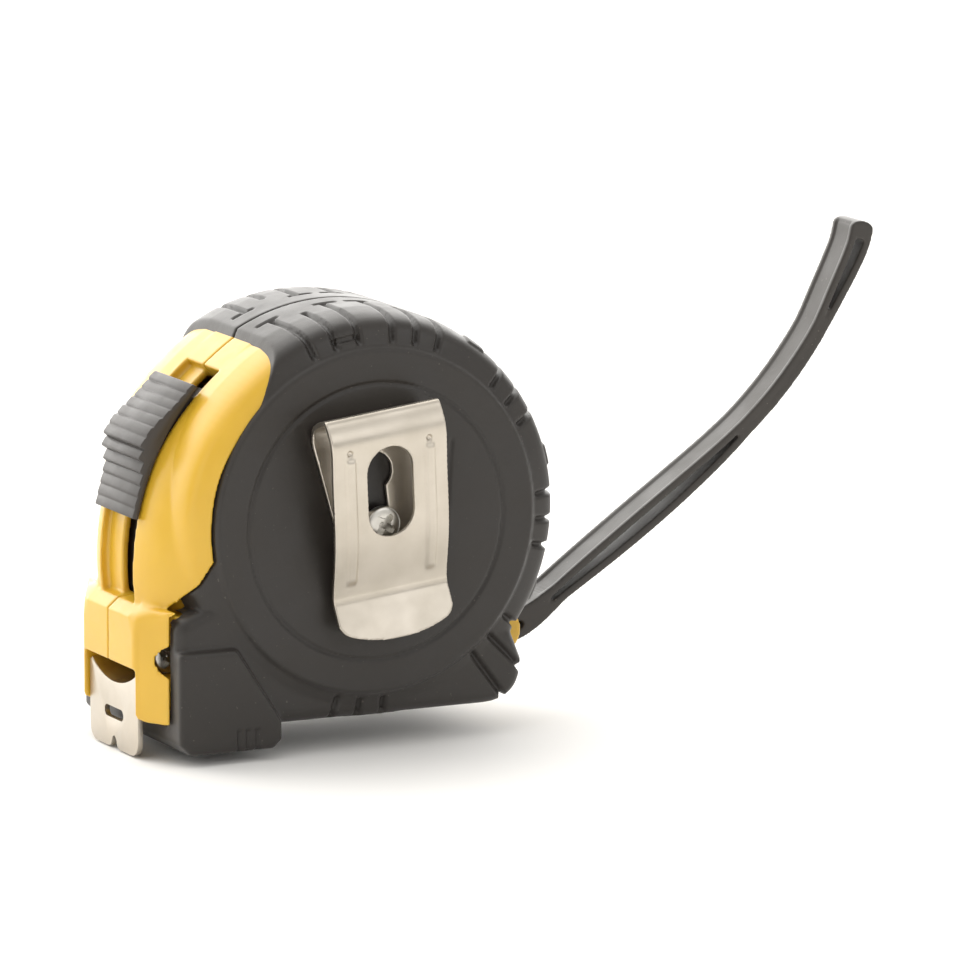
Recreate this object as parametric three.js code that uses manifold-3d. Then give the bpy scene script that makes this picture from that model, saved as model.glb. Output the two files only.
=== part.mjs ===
// A pocket tape measure with a belt clip, a thumb lock and a wrist strap, as separate pieces.
//
// Millimetres, +Z up. The nose points to -X and the belt clip is on the -Y side. The origin is on
// the drum's axis, in the flat flank that has no clip, so the case's parting plane is half the
// case's thickness to the -Y side of it. Inside this file every piece is drawn about the parting
// plane (y = 0) and the drum's axis (x = z = 0), and the whole group is shifted at the end.

import * as THREE from 'three';
import { mergeVertices } from 'three/addons/utils/BufferGeometryUtils.js';
import Module from 'manifold-3d';

const wasm = await Module();
wasm.setup();

// ---------------------------------------------------------------- driving dimensions

// Clearance between pieces that touch or slide, and the play that a turning piece needs.
const GAP = 0.3;
const RUNNING_PLAY = 0.3;

// The tape, wound on its drum.
const TAPE_WIDTH = 19;
const TAPE_THICKNESS = 0.3;
const TAPE_SAG = 2.8;
const COIL_RADIUS = 20.5;
const HUB_RADIUS = 13;
const HUB_WALL = 1.4;
const FLANGE_THICKNESS = 1;
const FLANGE_STANDS_PROUD = 1.5;
const POST_RADIUS = 3.5;
const SPRING_THICKNESS = 0.5;
const SPRING_TURNS = 4;

// The case: walls, and the room round the coil.
const SIDE_ROOM = 5;
const COIL_ROOM = 8.5;
const SHELL_WALL = 2.5;
const JACKET = 2.5;
const RING_MARGIN = 5.4;
const RING_STEP = 0.9;
const RING_CHAMFER = 0.5;

// The round body's shoulder: how far each corner is in from the crown, and down from the flank.
const SHOULDER_PROFILE = [[4.2, 0], [1.9, 1.2], [0.6, 3.6], [0, 8]];

// The front of the case is an arc that leaves the round crown smoothly at this polar angle.
const FRONT_TANGENT = 130;
const FRONT_OFFSET = 10;

// The front's arched section, as its corners in from the arc's rim and down from its flank.
const ARCH_PROFILE = [[9, 0], [6, 1.2], [3, 4], [1, 7.5], [0, 10.5]];
const ARCH_INSET = 0.8;

// The nose, the mouth, the underside, the heel, and the foot under the nose.
const NOSE_REACH = 5.2;
const NOSE_HEIGHT = 8.7;
const NOSE_ROOT_STEP = 4.1;
const NOSE_SETBACK = 4.2;
const NOSE_CHAMFER = 1.6;
const NOSE_EDGE = 0.7;
const CHEEK_INSET = 0.4;
const CHEEK_WALL = 1.2;
const CHEEK_SPREAD = 4.9;
const CHEEK_BLEND = 7.8;
const ROOT_DEPTH = 12;
const MOUTH_DROP = 2.4;
const MOUTH_HEIGHT = 7.4;
const MOUTH_FLOOR = 1;
const UNDERSIDE_DROP = 1.1;
const HEEL_INSET = 6.7;
const HEEL_ROUND = 7;
const HEEL_SLANT = 2;
const FLANK_INSET = 0.4;
const FLANK_BEVEL = 2;
const FOOT_DROP = 3.6;
const FOOT_LENGTH = 18.2;
const FOOT_HEIGHT = 17;
const FOOT_STANDS_PROUD = 0.8;
const FOOT_TOE = 2;
const FOOT_HEEL = 1.5;
const FOOT_SLANT = 8;
const FOOT_BEVEL = 1.2;

// The jacket's front edge: where it leaves the crown, where it follows the flank disc, in
// degrees, and how far behind and above the nose its two lower corners are.
const EDGE_FROM = 118;
const EDGE_DISC_FROM = 135;
const EDGE_DISC_TO = 190;
const EDGE_BACK = 4.4;
const EDGE_RISE = 5.7;
const EDGE_STEP = 0.9;

// The window in the front, in degrees round the front arc's centre, and the lock that slides in it.
const WINDOW_FROM = 131.5;
const SILL_HEIGHT = 1.6;
const WINDOW_HALF = 6.4;
const RAIL_DEPTH = 1.5;
const RAIL_THICKNESS = 1.2;
const RAIL_FROM = 1.2;
const CHAMBER_ROOM = 1;
const CHAMBER_ABOVE = 3;
const CHAMBER_BELOW = 24;
const PAD_FROM = 137.6;
const PAD_TURN = 30.8;
const PAD_HALF = 7.5;
const PAD_RIB_COUNT = 13;
const PAD_EDGE = 0.9;
const PAD_HUMP = 3.5;
const PAD_HUMP_AT = 0.52;
const PAD_HUMP_ABOVE = 0.22;
const PAD_HUMP_BELOW = 0.13;
const PAD_RIB_STEP = 0.2;
const NECK_INSET = 2;
const SLIDER_DEPTH = 3.6;
const SLIDER_THICKNESS = 1.4;
const SLIDER_HALF = 7.6;
const TONGUE_HALF = 4;
const TONGUE_BELOW_SILL = 7.5;

// The end hook and its rivets.
const HOOK_THICKNESS = 0.9;
const HOOK_SIDE_STEP = 0.1;
const HOOK_SETBACK = 1;
const HOOK_DROP = 6.3;
const HOOK_FLANGE = 13;
const HOOK_PLAY = 1;
const HOOK_LOBE = 3;
const HOOK_SHEET = 0.6;
const NICK_DEPTH = 2.6;
const NICK_HALF = 0.9;
const NICK_MOUTH = 2.6;
const HOOK_SLOT_HALF = 2.8;
const HOOK_SLOT_RADIUS = 0.95;
const HOOK_SLOT_RISE = 5.8;
const RIVET_RADIUS = 1.1;
const RIVET_PITCH = 4.5;
const RIVET_SETBACK = 5;
const RIVET_HEAD = 0.9;
const RIVET_HEAD_HEIGHT = 0.6;
const BUMPER_DEPTH = 2.1;

// Screws.
const SCREW_RADIUS = 1.3;
const SCREW_HEAD_RADIUS = 2.9;
const SCREW_HEAD_HEIGHT = 1.7;
const CLIP_SCREW_LENGTH = 8;
const CASE_HEAD_RADIUS = 2.5;
const CASE_HEAD_DEPTH = 4;
const NOSE_HEAD_DEPTH = 3.4;
const CREST_SCREW_ANGLES = [30, 100];
const BOSS_WALL = 1.7;
const SCREW_SETBACK = 1.3;
const HEEL_SCREW_INSET = 8.8;
const HEEL_SCREW_RISE = 6.6;
const RECESS_REACH = 1.7;
const RECESS_HALF = 0.35;
const RECESS_DEPTH = 0.8;

// The belt clip, a bent strip held by one screw on the drum's axis.
const CLIP_SHEET = 0.8;
const CLIP_WIDTH = 20.4;
const CLIP_TURN = 6.6;
const CLIP_STANDOFF = 7.4;
const CLIP_FOLD = 4.1;
const CLIP_TOP = 19.6;
const CLIP_CREASE = -11.4;
const CLIP_BOTTOM = -18.6;
const CLIP_FLARE = 2.4;
const CLIP_BACK_BOTTOM = -6;
const CLIP_TAPER = 3.4;
const CLIP_FOOT_ARC = 2.6;
const CLIP_SLOT_HALF = 4.1;
const CLIP_SLOT_FROM = -1.4;
const CLIP_SLOT_TO = 13.9;
const KEYHOLE_RADIUS = 2.9 + GAP;
const KEYHOLE_NECK = 1.8;
const KEYHOLE_AT = 8.6;

// The wrist strap, a closed loop of moulded rubber on a pin across the heel of the case.
const PIN_RADIUS = 1.2;
const PIN_PROUD = 0.2;
const PIN_HEIGHT = 9.9;
const LUG_RADIUS = 4;
const LUG_WIDTH = 4.3;
const LUG_ROOT = 8;
const PIN_BLIND = 0.6;
const STRAP_WIDTH = 7;
const STRAP_STRAND = 1.3;
const STRAP_EYE_WALL = 1.6;
const STRAP_GAP = 0.12;
const STRAP_TIP = 1.3;

// The tread: groups of three grooves across the crown and shoulders, at these polar angles.
const TREAD_GROUPS = [76.6, 35.6, -4.3];
const TREAD_PITCH = 8;
const TREAD_WIDTH = 1.1;
const TREAD_DEPTH = 0.8;
const TREAD_LENGTH = 12.5;
const TREAD_MIDDLE = 9;

// ---------------------------------------------------------------- sizes that follow

const CAVITY_HALF = TAPE_WIDTH / 2 + SIDE_ROOM;
const CORE_HALF = CAVITY_HALF + SHELL_WALL;
const CASE_HALF = CORE_HALF + JACKET;
const CAVITY_RADIUS = COIL_RADIUS + COIL_ROOM;
const CORE_RADIUS = CAVITY_RADIUS + SHELL_WALL;
const CROWN_RADIUS = CORE_RADIUS + JACKET;
const SHOULDER_HALF = CASE_HALF - RING_STEP;
const RING_RADIUS = CROWN_RADIUS - RING_MARGIN;

const tangent = THREE.MathUtils.degToRad(FRONT_TANGENT);
const FRONT_X = -FRONT_OFFSET * Math.cos(tangent);
const FRONT_Z = -FRONT_OFFSET * Math.sin(tangent);
const FRONT_RADIUS = CROWN_RADIUS + FRONT_OFFSET;

const PASSAGE_HALF = TAPE_WIDTH / 2 + 2 * GAP;
const NOSE_LENGTH = CROWN_RADIUS + NOSE_REACH;
const NOSE_HALF = PASSAGE_HALF - CHEEK_INSET;
const MOUTH_TOP = -COIL_RADIUS - MOUTH_DROP;
const NOSE_TOP = MOUTH_TOP + NOSE_HEIGHT;
const MOUTH_BOTTOM = MOUTH_TOP - MOUTH_HEIGHT;
const CHEEK_BOTTOM = MOUTH_BOTTOM - MOUTH_FLOOR;
const UNDERSIDE = CHEEK_BOTTOM - UNDERSIDE_DROP;
const JACKET_FRONT = -NOSE_LENGTH + NOSE_SETBACK;
const HEEL_X = CROWN_RADIUS - HEEL_INSET;
const FOOT_BOTTOM = UNDERSIDE - FOOT_DROP;
const FOOT_TOP = FOOT_BOTTOM + FOOT_HEIGHT;
const WINDOW_TO = 180 + THREE.MathUtils.radToDeg(
  Math.asin((FRONT_Z - NOSE_TOP - SILL_HEIGHT) / FRONT_RADIUS),
);
const PAD_TO = PAD_FROM + PAD_TURN;
const TONGUE_TO = WINDOW_TO + TONGUE_BELOW_SILL;
const TAPE_LOW = MOUTH_TOP - TAPE_SAG - 7 * GAP;
const HOOK_HALF = TAPE_WIDTH / 2 + HOOK_SIDE_STEP;
const HOOK_BOTTOM = CHEEK_BOTTOM - HOOK_DROP;
const PIN_X = HEEL_X + PIN_PROUD;
const PIN_Z = UNDERSIDE + PIN_HEIGHT;
const HOOK_FACE = -NOSE_LENGTH + HOOK_SETBACK;
const HOOK_BACK = HOOK_FACE + HOOK_THICKNESS;
const LIP_X = HOOK_BACK + GAP;

const FAR = 90;

// ---------------------------------------------------------------- helpers

const radians = THREE.MathUtils.degToRad;

// The point at an angle and radius round the front arc's centre.
function frontPoint(angle, radius) {
  return new THREE.Vector2(
    FRONT_X + radius * Math.cos(radians(angle)),
    FRONT_Z + radius * Math.sin(radians(angle)),
  );
}

// Turns a closed geometry into a solid that can be cut and joined.
function solidOf(geometry) {
  const bare = geometry.clone();
  bare.deleteAttribute('normal');
  bare.deleteAttribute('uv');
  const merged = mergeVertices(bare, 1e-4);
  const index = merged.index.array;
  const corners = [];
  for (let i = 0; i < index.length; i += 3) {
    const [a, b, c] = [index[i], index[i + 1], index[i + 2]];
    if (a !== b && b !== c && c !== a) corners.push(a, b, c);
  }
  return new wasm.Manifold(new wasm.Mesh({
    numProp: 3,
    vertProperties: new Float32Array(merged.attributes.position.array),
    triVerts: new Uint32Array(corners),
  }));
}

// A solid's triangles as a geometry.
function geometryOf(solid) {
  const mesh = solid.getMesh();
  const geometry = new THREE.BufferGeometry();
  geometry.setAttribute('position', new THREE.BufferAttribute(mesh.vertProperties, 3));
  geometry.setIndex(new THREE.BufferAttribute(mesh.triVerts, 1));
  return geometry;
}

// A shape drawn in x and z, thickened from y = low to y = high.
function prism(shape, low, high, segments = 12, bevel = 0) {
  const geometry = new THREE.ExtrudeGeometry(shape, {
    depth: high - low - 2 * bevel,
    curveSegments: segments,
    steps: 1,
    bevelEnabled: bevel > 0,
    bevelThickness: bevel,
    bevelSize: bevel,
    bevelOffset: -bevel,
    bevelSegments: 2,
  });
  geometry.rotateX(Math.PI / 2);
  geometry.translate(0, high - bevel, 0);
  return solidOf(geometry);
}

// A shape drawn in x and y, thickened from z = low to z = high.
function column(shape, low, high, segments = 12) {
  const geometry = new THREE.ExtrudeGeometry(shape, {
    depth: high - low, curveSegments: segments, steps: 1, bevelEnabled: false,
  });
  geometry.translate(0, 0, low);
  return solidOf(geometry);
}

// A shape drawn in y and z, thickened from x = low to x = high.
function bar(shape, low, high, segments = 12) {
  const geometry = new THREE.ExtrudeGeometry(shape, {
    depth: high - low, curveSegments: segments, steps: 1, bevelEnabled: false,
  });
  geometry.applyMatrix4(new THREE.Matrix4().makeBasis(
    new THREE.Vector3(0, 1, 0), new THREE.Vector3(0, 0, 1), new THREE.Vector3(1, 0, 0),
  ));
  geometry.translate(low, 0, 0);
  return solidOf(geometry);
}

function polygon(points) {
  return new THREE.Shape(points.map(([x, y]) => new THREE.Vector2(x, y)));
}

function box(xLow, xHigh, yLow, yHigh, zLow, zHigh) {
  const geometry = new THREE.BoxGeometry(xHigh - xLow, yHigh - yLow, zHigh - zLow);
  geometry.translate((xLow + xHigh) / 2, (yLow + yHigh) / 2, (zLow + zHigh) / 2);
  return solidOf(geometry);
}

// A round bar along y, at (x, z).
function rod(radius, low, high, x = 0, z = 0, segments = 24) {
  const geometry = new THREE.CylinderGeometry(radius, radius, high - low, segments);
  geometry.translate(x, (low + high) / 2, z);
  return solidOf(geometry);
}

// A profile of [radius, y] corners turned round the axis through (x, z), both sides of y = 0.
function turnedBothSides(corners, segments, x = 0, z = 0) {
  const lower = corners.map(([r, y]) => new THREE.Vector2(r, -y));
  const upper = corners.slice(0, -1).map(([r, y]) => new THREE.Vector2(r, y)).reverse();
  const geometry = new THREE.LatheGeometry([...lower, ...upper], segments);
  geometry.translate(x, 0, z);
  return solidOf(geometry);
}

// A sector of a flat ring round the front arc's centre, from angle to angle.
function frontBand(from, to, inner, outer, low, high, steps = 12) {
  const shape = new THREE.Shape();
  for (let i = 0; i <= steps; i += 1) {
    const point = frontPoint(from + ((to - from) * i) / steps, outer);
    if (i === 0) shape.moveTo(point.x, point.y);
    else shape.lineTo(point.x, point.y);
  }
  for (let i = steps; i >= 0; i -= 1) {
    const point = frontPoint(from + ((to - from) * i) / steps, inner);
    shape.lineTo(point.x, point.y);
  }
  shape.closePath();
  return prism(shape, low, high);
}

// The side of the parting plane that a half of the case is on: -1 is the clip side.
function half(side) {
  return side < 0
    ? box(-FAR, FAR, -FAR, -GAP / 2, -FAR, FAR)
    : box(-FAR, FAR, GAP / 2, FAR, -FAR, FAR);
}

// ---------------------------------------------------------------- the case's outer forms

// The round body with its raised flank disc, grown or shrunk by an inset.
function roundBody(inset) {
  const top = SHOULDER_HALF - inset;
  const crown = CROWN_RADIUS - inset;
  const shoulder = SHOULDER_PROFILE.map(([inward, down]) => [crown - inward, top - down]);
  return turnedBothSides([[0, top], ...shoulder, [crown, 0]], 48)
    .subtract(box(-FAR, FAR, -FAR, FAR, -FAR, UNDERSIDE + inset));
}

// The lower half of the body: flat underside, upright front under the nose, round heel.
function lowerBody(inset) {
  const bottom = UNDERSIDE + inset;
  const front = JACKET_FRONT + inset;
  const heel = HEEL_X - inset;
  const shape = new THREE.Shape();
  shape.moveTo(front, NOSE_TOP);
  shape.lineTo(front, bottom);
  shape.lineTo(heel - HEEL_ROUND, bottom);
  shape.quadraticCurveTo(heel, bottom, heel, bottom + HEEL_ROUND);
  shape.lineTo(heel - HEEL_SLANT, PIN_Z + HEEL_SLANT);
  shape.lineTo(0, 0);
  shape.closePath();
  const side = SHOULDER_HALF - inset - FLANK_INSET;
  return prism(shape, -side, side, 5, FLANK_BEVEL);
}

// The foot under the nose, which stands a little proud of the flanks.
function footBlock() {
  const back = JACKET_FRONT + FOOT_LENGTH;
  const side = SHOULDER_HALF + FOOT_STANDS_PROUD;
  return prism(polygon([
    [JACKET_FRONT, FOOT_TOP], [JACKET_FRONT, FOOT_BOTTOM + FOOT_TOE],
    [JACKET_FRONT + FOOT_TOE, FOOT_BOTTOM], [back - FOOT_HEEL, FOOT_BOTTOM],
    [back, FOOT_BOTTOM + FOOT_HEEL], [back, UNDERSIDE + FOOT_STANDS_PROUD],
    [back - FOOT_SLANT, FOOT_TOP],
  ]), -side, side, 4, FOOT_BEVEL);
}

// The raised disc on each flank.
function flankDisc() {
  return turnedBothSides([[0, CASE_HALF], [RING_RADIUS - RING_CHAMFER, CASE_HALF],
    [RING_RADIUS, CASE_HALF - RING_CHAMFER], [RING_RADIUS, 0]], 56);
}

// What the bare front of the case may fill: an arched nose that narrows towards the front.
function frontBody(grow) {
  const outline = new THREE.Shape();
  outline.moveTo(0, 0);
  outline.lineTo(0, COIL_RADIUS);
  for (let angle = EDGE_FROM; angle < WINDOW_TO; angle += 5) {
    const point = frontPoint(angle, FRONT_RADIUS + grow);
    outline.lineTo(point.x, point.y);
  }
  const sill = frontPoint(WINDOW_TO, FRONT_RADIUS + grow);
  outline.lineTo(sill.x, sill.y);
  outline.lineTo(-NOSE_LENGTH - grow, NOSE_TOP);
  outline.lineTo(-NOSE_LENGTH - grow, CHEEK_BOTTOM + NOSE_CHAMFER);
  outline.lineTo(-NOSE_LENGTH - grow + NOSE_CHAMFER, CHEEK_BOTTOM - grow);
  outline.lineTo(JACKET_FRONT + CHEEK_BLEND, CHEEK_BOTTOM - grow);
  outline.closePath();

  const shoulder = SHOULDER_HALF - ARCH_INSET + grow;
  const rim = FRONT_RADIUS + grow;
  const section = ARCH_PROFILE.map(([inward, down]) => [rim - inward, shoulder - down]);
  const arch = turnedBothSides([[0, shoulder], ...section, [rim, 0]], 72, FRONT_X, FRONT_Z);
  const below = box(-FAR, 0, -FAR, FAR, -FAR, frontPoint(WINDOW_TO, FRONT_RADIUS).y + grow);

  const cheek = NOSE_HALF + CHEEK_WALL + grow;
  const side = [
    [-NOSE_LENGTH - grow, NOSE_HALF], [-NOSE_LENGTH + NOSE_EDGE, cheek],
    [JACKET_FRONT, cheek + CHEEK_SPREAD], [JACKET_FRONT + CHEEK_BLEND, shoulder],
    [CAVITY_RADIUS, shoulder],
  ];
  const otherSide = side.map(([x, y]) => [x, -y]).reverse();
  const plan = polygon([...side, ...otherSide]);
  return prism(outline, -FAR, FAR).intersect(arch.add(below)).intersect(column(plan, -FAR, FAR));
}

// The root of the nose, which runs back under the jacket to the round core.
function noseRoot(grow) {
  const reach = NOSE_HALF + NOSE_ROOT_STEP + grow;
  return box(JACKET_FRONT + 2 * GAP - grow, JACKET_FRONT + ROOT_DEPTH, -reach, reach,
    CHEEK_BOTTOM - grow, NOSE_TOP + grow);
}

// The front region that the jacket leaves bare, bounded by the flank disc and a slanting edge.
function bareRegion(shift) {
  const start = radians(EDGE_FROM);
  const edge = RING_RADIUS - shift;
  const shape = new THREE.Shape();
  shape.moveTo(-FAR, FAR);
  shape.lineTo(CROWN_RADIUS * 1.2 * Math.cos(start) + shift, FAR);
  shape.lineTo(CROWN_RADIUS * Math.cos(start) + shift, CROWN_RADIUS * Math.sin(start));
  for (let angle = EDGE_DISC_FROM; angle <= EDGE_DISC_TO; angle += 5) {
    shape.lineTo(edge * Math.cos(radians(angle)), edge * Math.sin(radians(angle)));
  }
  shape.lineTo(JACKET_FRONT + EDGE_BACK + shift, NOSE_TOP + EDGE_RISE);
  shape.lineTo(JACKET_FRONT + shift, NOSE_TOP + EDGE_STEP);
  shape.lineTo(JACKET_FRONT + shift, CHEEK_BOTTOM - GAP);
  shape.lineTo(-FAR, CHEEK_BOTTOM - GAP);
  shape.closePath();
  return prism(shape, -FAR, FAR);
}

// What lies under the jacket, at a depth below the case's outer form.
function coreBody(depth) {
  return roundBody(depth).add(lowerBody(depth)).add(frontBody(-depth)).add(noseRoot(JACKET - depth));
}

// ---------------------------------------------------------------- cuts and bosses in the shells

const SCREW_PLACES = [
  [JACKET_FRONT + SCREW_SETBACK, MOUTH_TOP + SCREW_RADIUS + GAP + 0.4],
  [HEEL_X - HEEL_SCREW_INSET, UNDERSIDE + HEEL_SCREW_RISE],
  ...CREST_SCREW_ANGLES.map((angle) => [
    (CAVITY_RADIUS - BOSS_WALL) * Math.cos(radians(angle)),
    (CAVITY_RADIUS - BOSS_WALL) * Math.sin(radians(angle)),
  ]),
];
const CASE_SCREW_END = CAVITY_HALF - 4;
const BOSS_RADIUS = SCREW_RADIUS + GAP + BOSS_WALL;
const HEAD_HOLE = CASE_HEAD_RADIUS + GAP;

// The round hollow for the coil.
function coilHollow() {
  return rod(CAVITY_RADIUS, -CAVITY_HALF, CAVITY_HALF, 0, 0, 48);
}

// The tape's passage to the mouth, the lock's chamber and the window over it.
function ways() {
  const passage = box(-FAR, 0, -PASSAGE_HALF, PASSAGE_HALF, MOUTH_BOTTOM, MOUTH_TOP);
  const lip = box(-FAR, LIP_X, -PASSAGE_HALF, PASSAGE_HALF, -FAR, MOUTH_TOP);
  const roof = FRONT_RADIUS - SLIDER_DEPTH + GAP;
  const floor = roof - SLIDER_THICKNESS - 2 * GAP - CHAMBER_ROOM;
  const reach = SLIDER_HALF + GAP;
  const chamber = frontBand(WINDOW_FROM - CHAMBER_ABOVE, WINDOW_TO + CHAMBER_BELOW,
    floor, roof, -reach, reach, 14);
  const window = frontBand(WINDOW_FROM, WINDOW_TO, roof - 1, FRONT_RADIUS + NOSE_REACH,
    -WINDOW_HALF, WINDOW_HALF, 14);
  return passage.add(lip).add(chamber).add(window);
}

// The ledge in the window that the lock's pad rests over, on the plain side only.
function windowRail() {
  const top = FRONT_RADIUS - RAIL_DEPTH;
  return frontBand(WINDOW_FROM - 1, WINDOW_TO + 1, top - RAIL_THICKNESS, top,
    RAIL_FROM, WINDOW_HALF + 1, 14);
}

// The slot in the heel for the strap, where it turns on its pin.
function strapSlot() {
  const room = STRAP_WIDTH / 2 + 2 * GAP;
  const eye = PIN_RADIUS + STRAP_EYE_WALL;
  const deep = PIN_X - eye - 6 * GAP;
  const heel = polygon([[deep, PIN_Z - eye], [PIN_X - eye, PIN_Z - eye - LUG_RADIUS / 2],
    [FAR, PIN_Z - FAR], [FAR, PIN_Z + FAR], [PIN_X - 1, PIN_Z + eye + LUG_RADIUS],
    [deep, PIN_Z + eye]]);
  return prism(heel, -room, room);
}

// The two ears that carry the pin.
function strapLug(grow) {
  const inner = STRAP_WIDTH / 2 + 2 * GAP;
  const outer = inner + LUG_WIDTH + grow;
  const radius = LUG_RADIUS + grow;
  const ear = (low, high) => rod(radius, low, high, PIN_X, PIN_Z, 24)
    .add(prism(polygon([[PIN_X, PIN_Z + radius], [PIN_X - LUG_ROOT, PIN_Z + radius + 3],
      [PIN_X - LUG_ROOT, PIN_Z - radius], [PIN_X, PIN_Z - radius]]), low, high));
  return ear(-outer, -inner + grow).add(ear(inner - grow, outer));
}

// ---------------------------------------------------------------- the pieces of the case

// One moulded shell half: core under the jacket, bare front, bosses, window and mouth.
function makeShell(side) {
  const front = frontBody(0).add(roundBody(0)).intersect(bareRegion(-GAP));
  let body = coreBody(JACKET).add(front);
  body = body.subtract(coilHollow());
  for (const [x, z] of SCREW_PLACES) {
    const boss = rod(BOSS_RADIUS, -CORE_HALF + 1, CORE_HALF - 1, x, z);
    body = body.add(boss.intersect(coreBody(JACKET + 1).add(front)));
  }
  body = body.subtract(ways());
  if (side > 0) body = body.add(windowRail());
  const postSocket = rod(POST_RADIUS + BOSS_WALL + GAP, CAVITY_HALF - 2.5, CAVITY_HALF + 1);
  body = side > 0
    ? body.add(postSocket).subtract(rod(POST_RADIUS + GAP, CAVITY_HALF - 3, CAVITY_HALF))
    : body.subtract(rod(SCREW_RADIUS + GAP, -FAR, 0));
  body = body.add(strapLug(0)).subtract(strapSlot());
  const pinHole = STRAP_WIDTH / 2 + LUG_WIDTH - PIN_BLIND;
  body = body.subtract(rod(PIN_RADIUS + GAP, -pinHole - GAP, pinHole + GAP, PIN_X, PIN_Z));
  body = body.intersect(half(side));
  for (const [x, z] of SCREW_PLACES) {
    body = side < 0
      ? body.subtract(rod(SCREW_RADIUS + GAP, -FAR, 0, x, z))
        .subtract(rod(HEAD_HOLE, -FAR, screwSeat(x) + GAP, x, z))
      : body.subtract(rod(SCREW_RADIUS + GAP, 0, CASE_SCREW_END + 2 * GAP, x, z));
  }
  return body;
}

// Where a case screw's head rests: the front one sits deeper, because the nose is narrower.
function screwSeat(x) {
  return x < -CAVITY_RADIUS
    ? -NOSE_HALF - NOSE_ROOT_STEP + NOSE_HEAD_DEPTH
    : -SHOULDER_HALF + JACKET + CASE_HEAD_DEPTH;
}

// One half of the rubber jacket: the case's outer form less the shell and the bare front.
function makeJacket(side) {
  const outer = roundBody(0).add(lowerBody(0)).add(footBlock()).add(flankDisc());
  let body = outer.subtract(coreBody(JACKET - GAP)).subtract(bareRegion(0)).subtract(strapSlot());
  body = body.subtract(strapLug(GAP)).subtract(noseRoot(GAP).translate([-4 * GAP, 0, 0]));
  body = body.subtract(box(-FAR, LIP_X + 0.6, -PASSAGE_HALF, PASSAGE_HALF, -FAR, MOUTH_TOP));
  body = body.subtract(treadGrooves()).intersect(half(side));
  if (side < 0) {
    body = body.subtract(rod(SCREW_RADIUS + GAP, -FAR, 0));
  }
  return body;
}

// The grooves of the tread, on both sides of the seam.
function treadGrooves() {
  const cuts = [];
  for (const middle of TREAD_GROUPS) {
    for (const step of [-1, 0, 1]) {
      for (const side of [-1, 1]) {
        const geometry = new THREE.BoxGeometry(2 * JACKET, TREAD_LENGTH, TREAD_WIDTH);
        geometry.translate(CROWN_RADIUS - TREAD_DEPTH + JACKET, side * TREAD_MIDDLE, 0);
        geometry.rotateY(-radians(middle + step * TREAD_PITCH));
        cuts.push(solidOf(geometry));
      }
    }
  }
  return cuts.reduce((all, cut) => all.add(cut));
}

// ---------------------------------------------------------------- drum, spring and tape

function makeDrum() {
  const outer = TAPE_WIDTH / 2 + GAP;
  const flange = COIL_RADIUS + FLANGE_STANDS_PROUD;
  const bore = POST_RADIUS + RUNNING_PLAY;
  return rod(HUB_RADIUS, -outer, outer, 0, 0, 40)
    .subtract(rod(HUB_RADIUS - HUB_WALL, -outer, FAR, 0, 0, 40))
    .add(rod(flange, -outer - FLANGE_THICKNESS, -outer, 0, 0, 48))
    .subtract(rod(bore, -FAR, FAR));
}

function makeDrumCover() {
  const inner = TAPE_WIDTH / 2 + 2 * GAP;
  return rod(COIL_RADIUS + FLANGE_STANDS_PROUD, inner, inner + FLANGE_THICKNESS, 0, 0, 48)
    .subtract(rod(POST_RADIUS + RUNNING_PLAY, -FAR, FAR));
}

function makeCoil() {
  return rod(COIL_RADIUS, -TAPE_WIDTH / 2, TAPE_WIDTH / 2, 0, 0, 56)
    .subtract(rod(HUB_RADIUS + GAP, -FAR, FAR, 0, 0, 48));
}

function makePost() {
  return rod(POST_RADIUS, -CAVITY_HALF + GAP, CAVITY_HALF - GAP)
    .subtract(rod(SCREW_RADIUS + GAP, -FAR, -2));
}

// The flat spiral spring between the post and the drum.
function makeSpring() {
  const inner = POST_RADIUS + 2 * GAP;
  const outer = HUB_RADIUS - HUB_WALL - 2 * GAP - SPRING_THICKNESS;
  const steps = SPRING_TURNS * 20;
  const along = (i, extra) => {
    const angle = (2 * Math.PI * SPRING_TURNS * i) / steps;
    const radius = inner + ((outer - inner) * i) / steps + extra;
    return new THREE.Vector2(radius * Math.cos(angle), radius * Math.sin(angle));
  };
  const points = [];
  for (let i = 0; i <= steps; i += 1) points.push(along(i, SPRING_THICKNESS));
  for (let i = steps; i >= 0; i -= 1) points.push(along(i, 0));
  const reach = TAPE_WIDTH / 2 - 3 * GAP;
  return prism(new THREE.Shape(points), -reach, reach);
}

// The curved section of the tape, or of the hook's flange that follows it, in y and z.
function dishSection(lowest, thickness, halfWidth) {
  const chord = TAPE_WIDTH / 2;
  const radius = (chord * chord + TAPE_SAG * TAPE_SAG) / (2 * TAPE_SAG);
  const reach = Math.asin(halfWidth / radius);
  const steps = 14;
  const centre = lowest + radius;
  const points = [];
  for (let i = 0; i <= steps; i += 1) {
    const angle = reach * ((2 * i) / steps - 1);
    points.push(new THREE.Vector2(radius * Math.sin(angle), centre - radius * Math.cos(angle)));
  }
  const inner = radius - thickness;
  for (let i = steps; i >= 0; i -= 1) {
    const angle = reach * ((2 * i) / steps - 1);
    points.push(new THREE.Vector2(inner * Math.sin(angle), centre - inner * Math.cos(angle)));
  }
  return new THREE.Shape(points);
}

// The rear end of the straight stretch stays inside the round hollow.
const TAPE_END = Math.sqrt(CAVITY_RADIUS ** 2 - (TAPE_LOW - GAP) ** 2) - 2 * GAP;
const RIVET_PLACES = [0, 1].map((i) => HOOK_BACK + RIVET_SETBACK + RIVET_PITCH * i);
const FLANGE_LOW = TAPE_LOW + TAPE_THICKNESS + GAP;

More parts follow.
